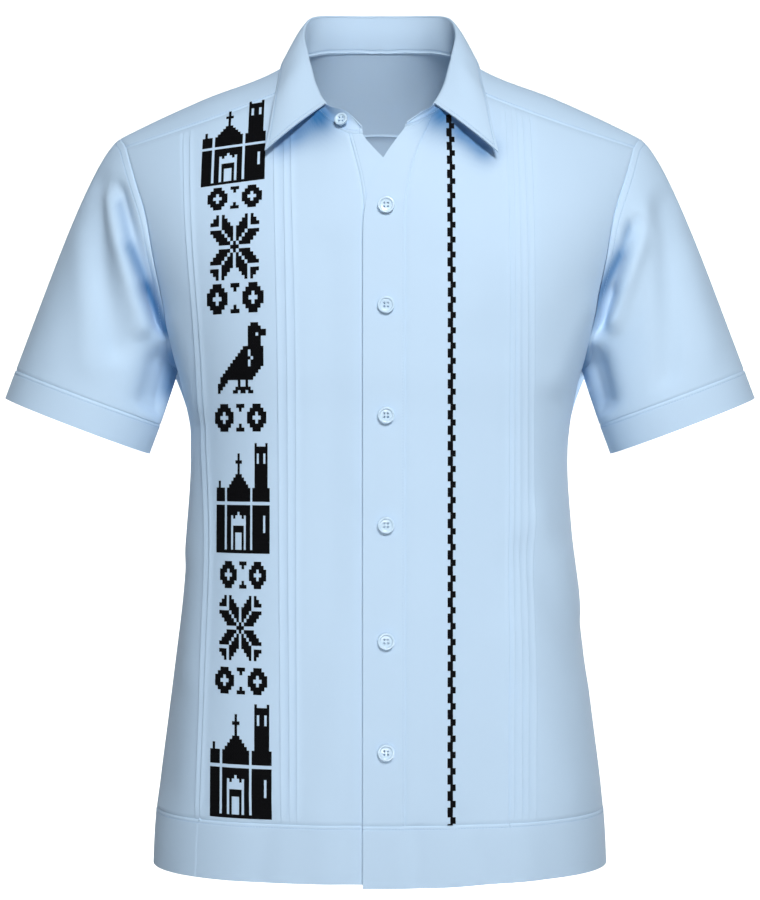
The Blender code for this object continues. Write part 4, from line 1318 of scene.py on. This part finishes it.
print("buttons")
for k, z in enumerate(buttons["heights"]):
    normal = bodyNormal(buttons["x"], z, 1)
    place = bodyPoint(buttons["x"], z, 1) + normal * buttons["lift"]
    makeButton("button%d" % (k + 1), place, normal, buttons["radius"], "button_%d" % (k + 1))
standEnd = [neckAt(-k).lerp(standTopAt(-k), buttons["standUp"]) for k in (13, 12)]
overWay = standEnd[1] - standEnd[0]
upWay = (standTopAt(-13) - neckAt(-13)) + (standTopAt(-12) - neckAt(-12))
standNormal = overWay.cross(upWay).normalized()
if standNormal.y > 0:
    standNormal = -standNormal
makeButton("buttonStand", standEnd[0].lerp(standEnd[1], buttons["standIn"])
           + standNormal * buttons["standLift"], standNormal, buttons["standRadius"],
           "button_stand")


# ---- cross-stitch embroidery on the right front
embroidery = {
    "lift": 0.00032,           # bottom of the stitches above the middle of the cloth
    "pad": 0.00030,
    "thread": 0.00042,         # width of one leg of a cross
    "bulge": 0.00022,
    # motif, x from, x to, top, bottom, rise to the middle of the shirt
    "motifs": (
        ("church", -0.1565, -0.100, -0.043, -0.119, 0.10),
        ("rings", -0.150, -0.102, -0.122, -0.142, 0.06),
        ("star", -0.147, -0.104, -0.147, -0.204, 0.035),
        ("rings", -0.150, -0.100, -0.207, -0.233, 0.03),
        ("bird", -0.141, -0.098, -0.241, -0.302, 0.0),
        ("rings", -0.144, -0.098, -0.311, -0.335, 0.0),
        ("church", -0.1425, -0.095, -0.345, -0.4405, 0.0),
        ("rings", -0.139, -0.098, -0.4475, -0.471, 0.0),
        ("star", -0.1395, -0.102, -0.477, -0.533, 0.0),
        ("rings", -0.143, -0.097, -0.539, -0.562, 0.0),
        ("church", -0.147, -0.093, -0.570, -0.668, 0.0),
    ),
}


def block(cells, left, right, low, high, take=False):
    for column in range(left, right + 1):
        for row in range(low, high + 1):
            if take:
                cells.discard((column, row))
            else:
                cells.add((column, row))


def churchCells():
    cells = set()
    for left, right in ((0, 3), (5, 15), (17, 24)):
        block(cells, left, right, 0, 13)
        block(cells, left, right, 15, 18)
    block(cells, 0, 24, 0, 0)
    block(cells, 1, 1, 19, 20)
    for row, (left, right) in enumerate(((6, 14), (7, 13), (8, 12), (9, 11)), 19):
        block(cells, left, right, row, row)
    block(cells, 10, 10, 22, 28)
    block(cells, 9, 11, 26, 26)
    block(cells, 18, 23, 19, 30)
    for column in (19, 22):
        block(cells, column, column, 26, 28, take=True)
    for column in (18, 23):
        block(cells, column, column, 31, 31)
    block(cells, 22, 22, 6, 10, take=True)
    for column in (7, 13):
        block(cells, column, column, 1, 10, take=True)
    block(cells, 7, 13, 8, 9, take=True)
    block(cells, 9, 11, 10, 10, take=True)
    block(cells, 10, 10, 11, 11, take=True)
    block(cells, 9, 11, 1, 5, take=True)
    return cells, 25, 32


def ringCells():
    cells = set()
    for start in (0, 12):
        for row, (left, right) in enumerate(((2, 4), (1, 5), (0, 6), (0, 6), (0, 6), (1, 5),
                                             (2, 4))):
            block(cells, start + left, start + right, row, row)
        block(cells, start + 3, start + 3, 2, 4, take=True)
        block(cells, start + 2, start + 4, 3, 3, take=True)
    for row in (0, 6):
        block(cells, 8, 10, row, row)
    block(cells, 9, 9, 1, 1)
    block(cells, 9, 9, 5, 5)
    return cells, 19, 7


def starCells():
    petal = ((0, 0), (0, 1), (1, 2), (1, 3), (2, 3), (1, 4), (2, 4), (3, 4), (1, 5), (2, 5),
             (3, 5), (4, 5), (2, 6), (3, 6), (4, 6), (3, 7), (4, 7), (4, 8))
    heart = ((6, 6), (6, 7), (6, 8), (7, 6), (8, 6), (7, 7))
    cells = set()
    for i, j in petal + heart:
        for a, b in ((i, j), (j, i)):
            for sa in (-1, 1):
                for sb in (-1, 1):
                    cells.add((8 + sa * a, 8 + sb * b))
    return cells, 17, 17


def birdCells():
    rows = (
        ((13, 15),), ((12, 16),), ((12, 18),), ((12, 18),), ((12, 16),), ((12, 16),),
        ((12, 16),), ((10, 17),), ((9, 17),), ((8, 17),), ((7, 17),), ((6, 17),), ((5, 17),),
        ((4, 16),), ((3, 15),), ((2, 14),), ((1, 4), (5, 13)), ((1, 3), (8, 8), (11, 11)),
        ((0, 2), (8, 8), (11, 11)), ((0, 1), (7, 9), (10, 12)),
        ((0, 0), (6, 7), (9, 10), (12, 13)),
    )
    cells = set()
    for down, spans in enumerate(rows):
        for left, right in spans:
            block(cells, left, right, 20 - down, 20 - down)
    for column, down in ((15, 3), (12, 8), (12, 9), (13, 10), (12, 11), (12, 12)):
        cells.discard((column, 20 - down))
    return cells, 19, 21


def crossStitches(name, cells, corner, material):     # corner(column, row) is a point on the cloth
    corners, faces = [], []
    for column, row in sorted(cells):
        square = [corner(column + dx, row + dy) for dx, dy in ((0, 0), (1, 0), (1, 1), (0, 1))]
        normal = (square[1] - square[0]).cross(square[3] - square[0]).normalized()
        if normal.y > 0:
            normal = -normal
        centre = sum(square, Vector((0, 0, 0))) / 4
        base = len(corners)
        floor = [p + normal * embroidery["lift"] for p in square]
        corners.extend(floor)
        corners.extend(p + normal * embroidery["pad"] * 0.5 for p in floor)
        corners.append(centre + normal * (embroidery["lift"] + embroidery["pad"]))
        faces.append((base + 3, base + 2, base + 1, base))
        for k in range(4):
            n = (k + 1) % 4
            faces.append((base + k, base + n, base + 4 + n, base + 4 + k))
            faces.append((base + 4 + k, base + 4 + n, base + 8))
        for leg, (one, two) in enumerate(((0, 2), (1, 3))):
            high = embroidery["lift"] + embroidery["pad"] * 0.55 + 0.00010 * leg
            start = square[one].lerp(centre, 0.06) + normal * high
            end = square[two].lerp(centre, 0.06) + normal * high
            aside = (end - start).cross(normal).normalized() * embroidery["thread"] / 2
            top = (start + end) / 2 + normal * embroidery["bulge"] * 2
            base = len(corners)
            for at, lift in ((start, 0.6), (top, 1.0), (end, 0.6)):
                corners.extend((at - aside * lift, at + normal * embroidery["bulge"] * lift,
                                at + aside * lift))
            for k in (0, 3):
                faces.append((base + k, base + k + 1, base + k + 4, base + k + 3))
                faces.append((base + k + 1, base + k + 2, base + k + 5, base + k + 4))
                faces.append((base + k + 2, base + k, base + k + 3, base + k + 5))
            faces.append((base + 2, base + 1, base))
            faces.append((base + 6, base + 7, base + 8))
    return joinCopies(name, corners, faces, material, smooth=False)


print("embroidery")
charts = {"church": churchCells(), "rings": ringCells(), "star": starCells(),
          "bird": birdCells()}
for number, (kind, xFrom, xTo, top, bottom, rise) in enumerate(embroidery["motifs"], 1):
    cells, wide, tall = charts[kind]
    known = {}

    def motifCorner(column, row):
        if (column, row) not in known:
            x = xFrom + (xTo - xFrom) * column / wide
            z = bottom + (top - bottom) * row / tall + rise * (x - (xFrom + xTo) / 2)
            known[column, row] = bodyPoint(x, z, -1)
        return known[column, row]

    crossStitches("motif%02d" % number, cells, motifCorner, blackThread)


# ---- stepped black line down the left front
steppedLine = {
    "top": -0.046, "bottom": -0.6715,
    "columns": (0.0575, 0.0599, 0.0622, 0.0646),
    "rowTop": 0.00252, "rowBottom": 0.00280,
    "leftRows": 3, "rightRows": 2,
}


def steppedHeights():
    heights = [steppedLine["top"]]
    while heights[-1] > steppedLine["bottom"]:
        share = (heights[-1] - steppedLine["top"]) / (steppedLine["bottom"] - steppedLine["top"])
        heights.append(heights[-1] - steppedLine["rowTop"]
                       - (steppedLine["rowBottom"] - steppedLine["rowTop"]) * share)
    heights[-1] = steppedLine["bottom"]
    return heights


lineHeights = steppedHeights()
lineCells = set()
repeat = steppedLine["leftRows"] + steppedLine["rightRows"]
for row in range(len(lineHeights) - 1):
    lineCells.add((1, row))
    lineCells.add((0 if row % repeat < steppedLine["leftRows"] else 2, row))
crossStitches("steppedLine", lineCells,
              lambda column, row: bodyPoint(steppedLine["columns"][column], lineHeights[row], 1),
              blackThread)


# ---- floor, light and camera
stage = {"floor": -1.45, "wide": 14.0, "front": -6.5, "back": 4.4,
         "curveRadius": 1.4, "wall": 5.0, "glow": 1.0,
         "glowFrom": 1.7, "glowFull": 2.4}     # the lit backdrop starts behind the shirt


def layStage():
    profile = [(stage["front"], stage["floor"])]
    for k in range(13):
        turn = math.pi / 2 * k / 12
        profile.append((stage["back"] + stage["curveRadius"] * math.sin(turn),
                        stage["floor"] + stage["curveRadius"] * (1 - math.cos(turn))))
    profile.append((stage["back"] + stage["curveRadius"], stage["wall"]))
    bpy.ops.object.select_all(action="DESELECT")
    bpy.ops.mesh.primitive_grid_add(x_subdivisions=1, y_subdivisions=len(profile) - 1, size=1)
    floor = bpy.context.object
    floor.name = floor.data.name = "paleSweep"
    for corner in floor.data.vertices:
        y, z = profile[round((corner.co.y + 0.5) * (len(profile) - 1))]
        corner.co = (corner.co.x * stage["wide"], y, z)
    bpy.ops.object.shade_smooth()
    made, shader, start, place = newMaterial("paleSweep")
    cloud = start.out("ShaderNodeTexNoise", Vector=place, Scale=1.2, Detail=3.0)
    cloud.blend(colour(0.94, 0.94, 0.94), colour(0.96, 0.96, 0.96)).to(shader, "Base Color")
    lit = start.out("ShaderNodeMapRange", Value=start.axes(place)[1],
                    From_Min=stage["glowFrom"], From_Max=stage["glowFull"])
    lit.blend(colour(0, 0, 0), colour(1, 1, 1)).to(shader, "Emission Color")
    settle(shader, Roughness=0.9, Specular_IOR_Level=0.1, Emission_Strength=stage["glow"])
    floor.data.materials.append(made)


layStage()


def areaLight(name, place, target, size, power, tint=(1, 1, 1), spreadAngle=60):
    bpy.ops.object.light_add(type="AREA", location=place)
    lamp = bpy.context.object
    lamp.name = lamp.data.name = name
    lamp.data.shape = "RECTANGLE"
    lamp.data.size, lamp.data.size_y = size
    lamp.data.energy = power
    lamp.data.color = tint
    lamp.data.spread = math.radians(spreadAngle)
    aim = Vector(target) - Vector(place)
    lamp.rotation_euler = aim.to_track_quat("-Z", "Y").to_euler()


studio = {"key": 9.0, "fill": 0.9, "low": 1.9, "world": 0.05}
areaLight("keyLight", (0.50, -2.5, 1.5), (0.0, 0.0, -0.30), (0.8, 0.6), studio["key"])
areaLight("fillLight", (-2.2, -2.2, 0.1), (0.0, 0.0, -0.35), (1.6, 2.0), studio["fill"],
          (0.96, 0.98, 1.0))
areaLight("lowLight", (0.3, -2.4, -1.0), (0.0, 0.0, -0.62), (1.2, 0.4), studio["low"])
world = bpy.data.worlds.new("softRoom")
bpy.context.scene.world = world
world.use_nodes = True
world.node_tree.nodes["Background"].inputs["Color"].default_value = (0.45, 0.72, 1.0, 1)
world.node_tree.nodes["Background"].inputs["Strength"].default_value = studio["world"]
bpy.context.scene.view_settings.view_transform = "Standard"

camera = {"place": (0.0, -2.0, -0.351), "lens": 87.9}
lensData = bpy.data.cameras.new("frontCamera")
lensData.lens = camera["lens"]
lensData.sensor_width = 36.0
frontCamera = bpy.data.objects.new("frontCamera", lensData)
frontCamera.location = camera["place"]
frontCamera.rotation_euler = (math.radians(90), 0, 0)     # level, looking along +Y
bpy.context.collection.objects.link(frontCamera)
bpy.context.scene.camera = frontCamera
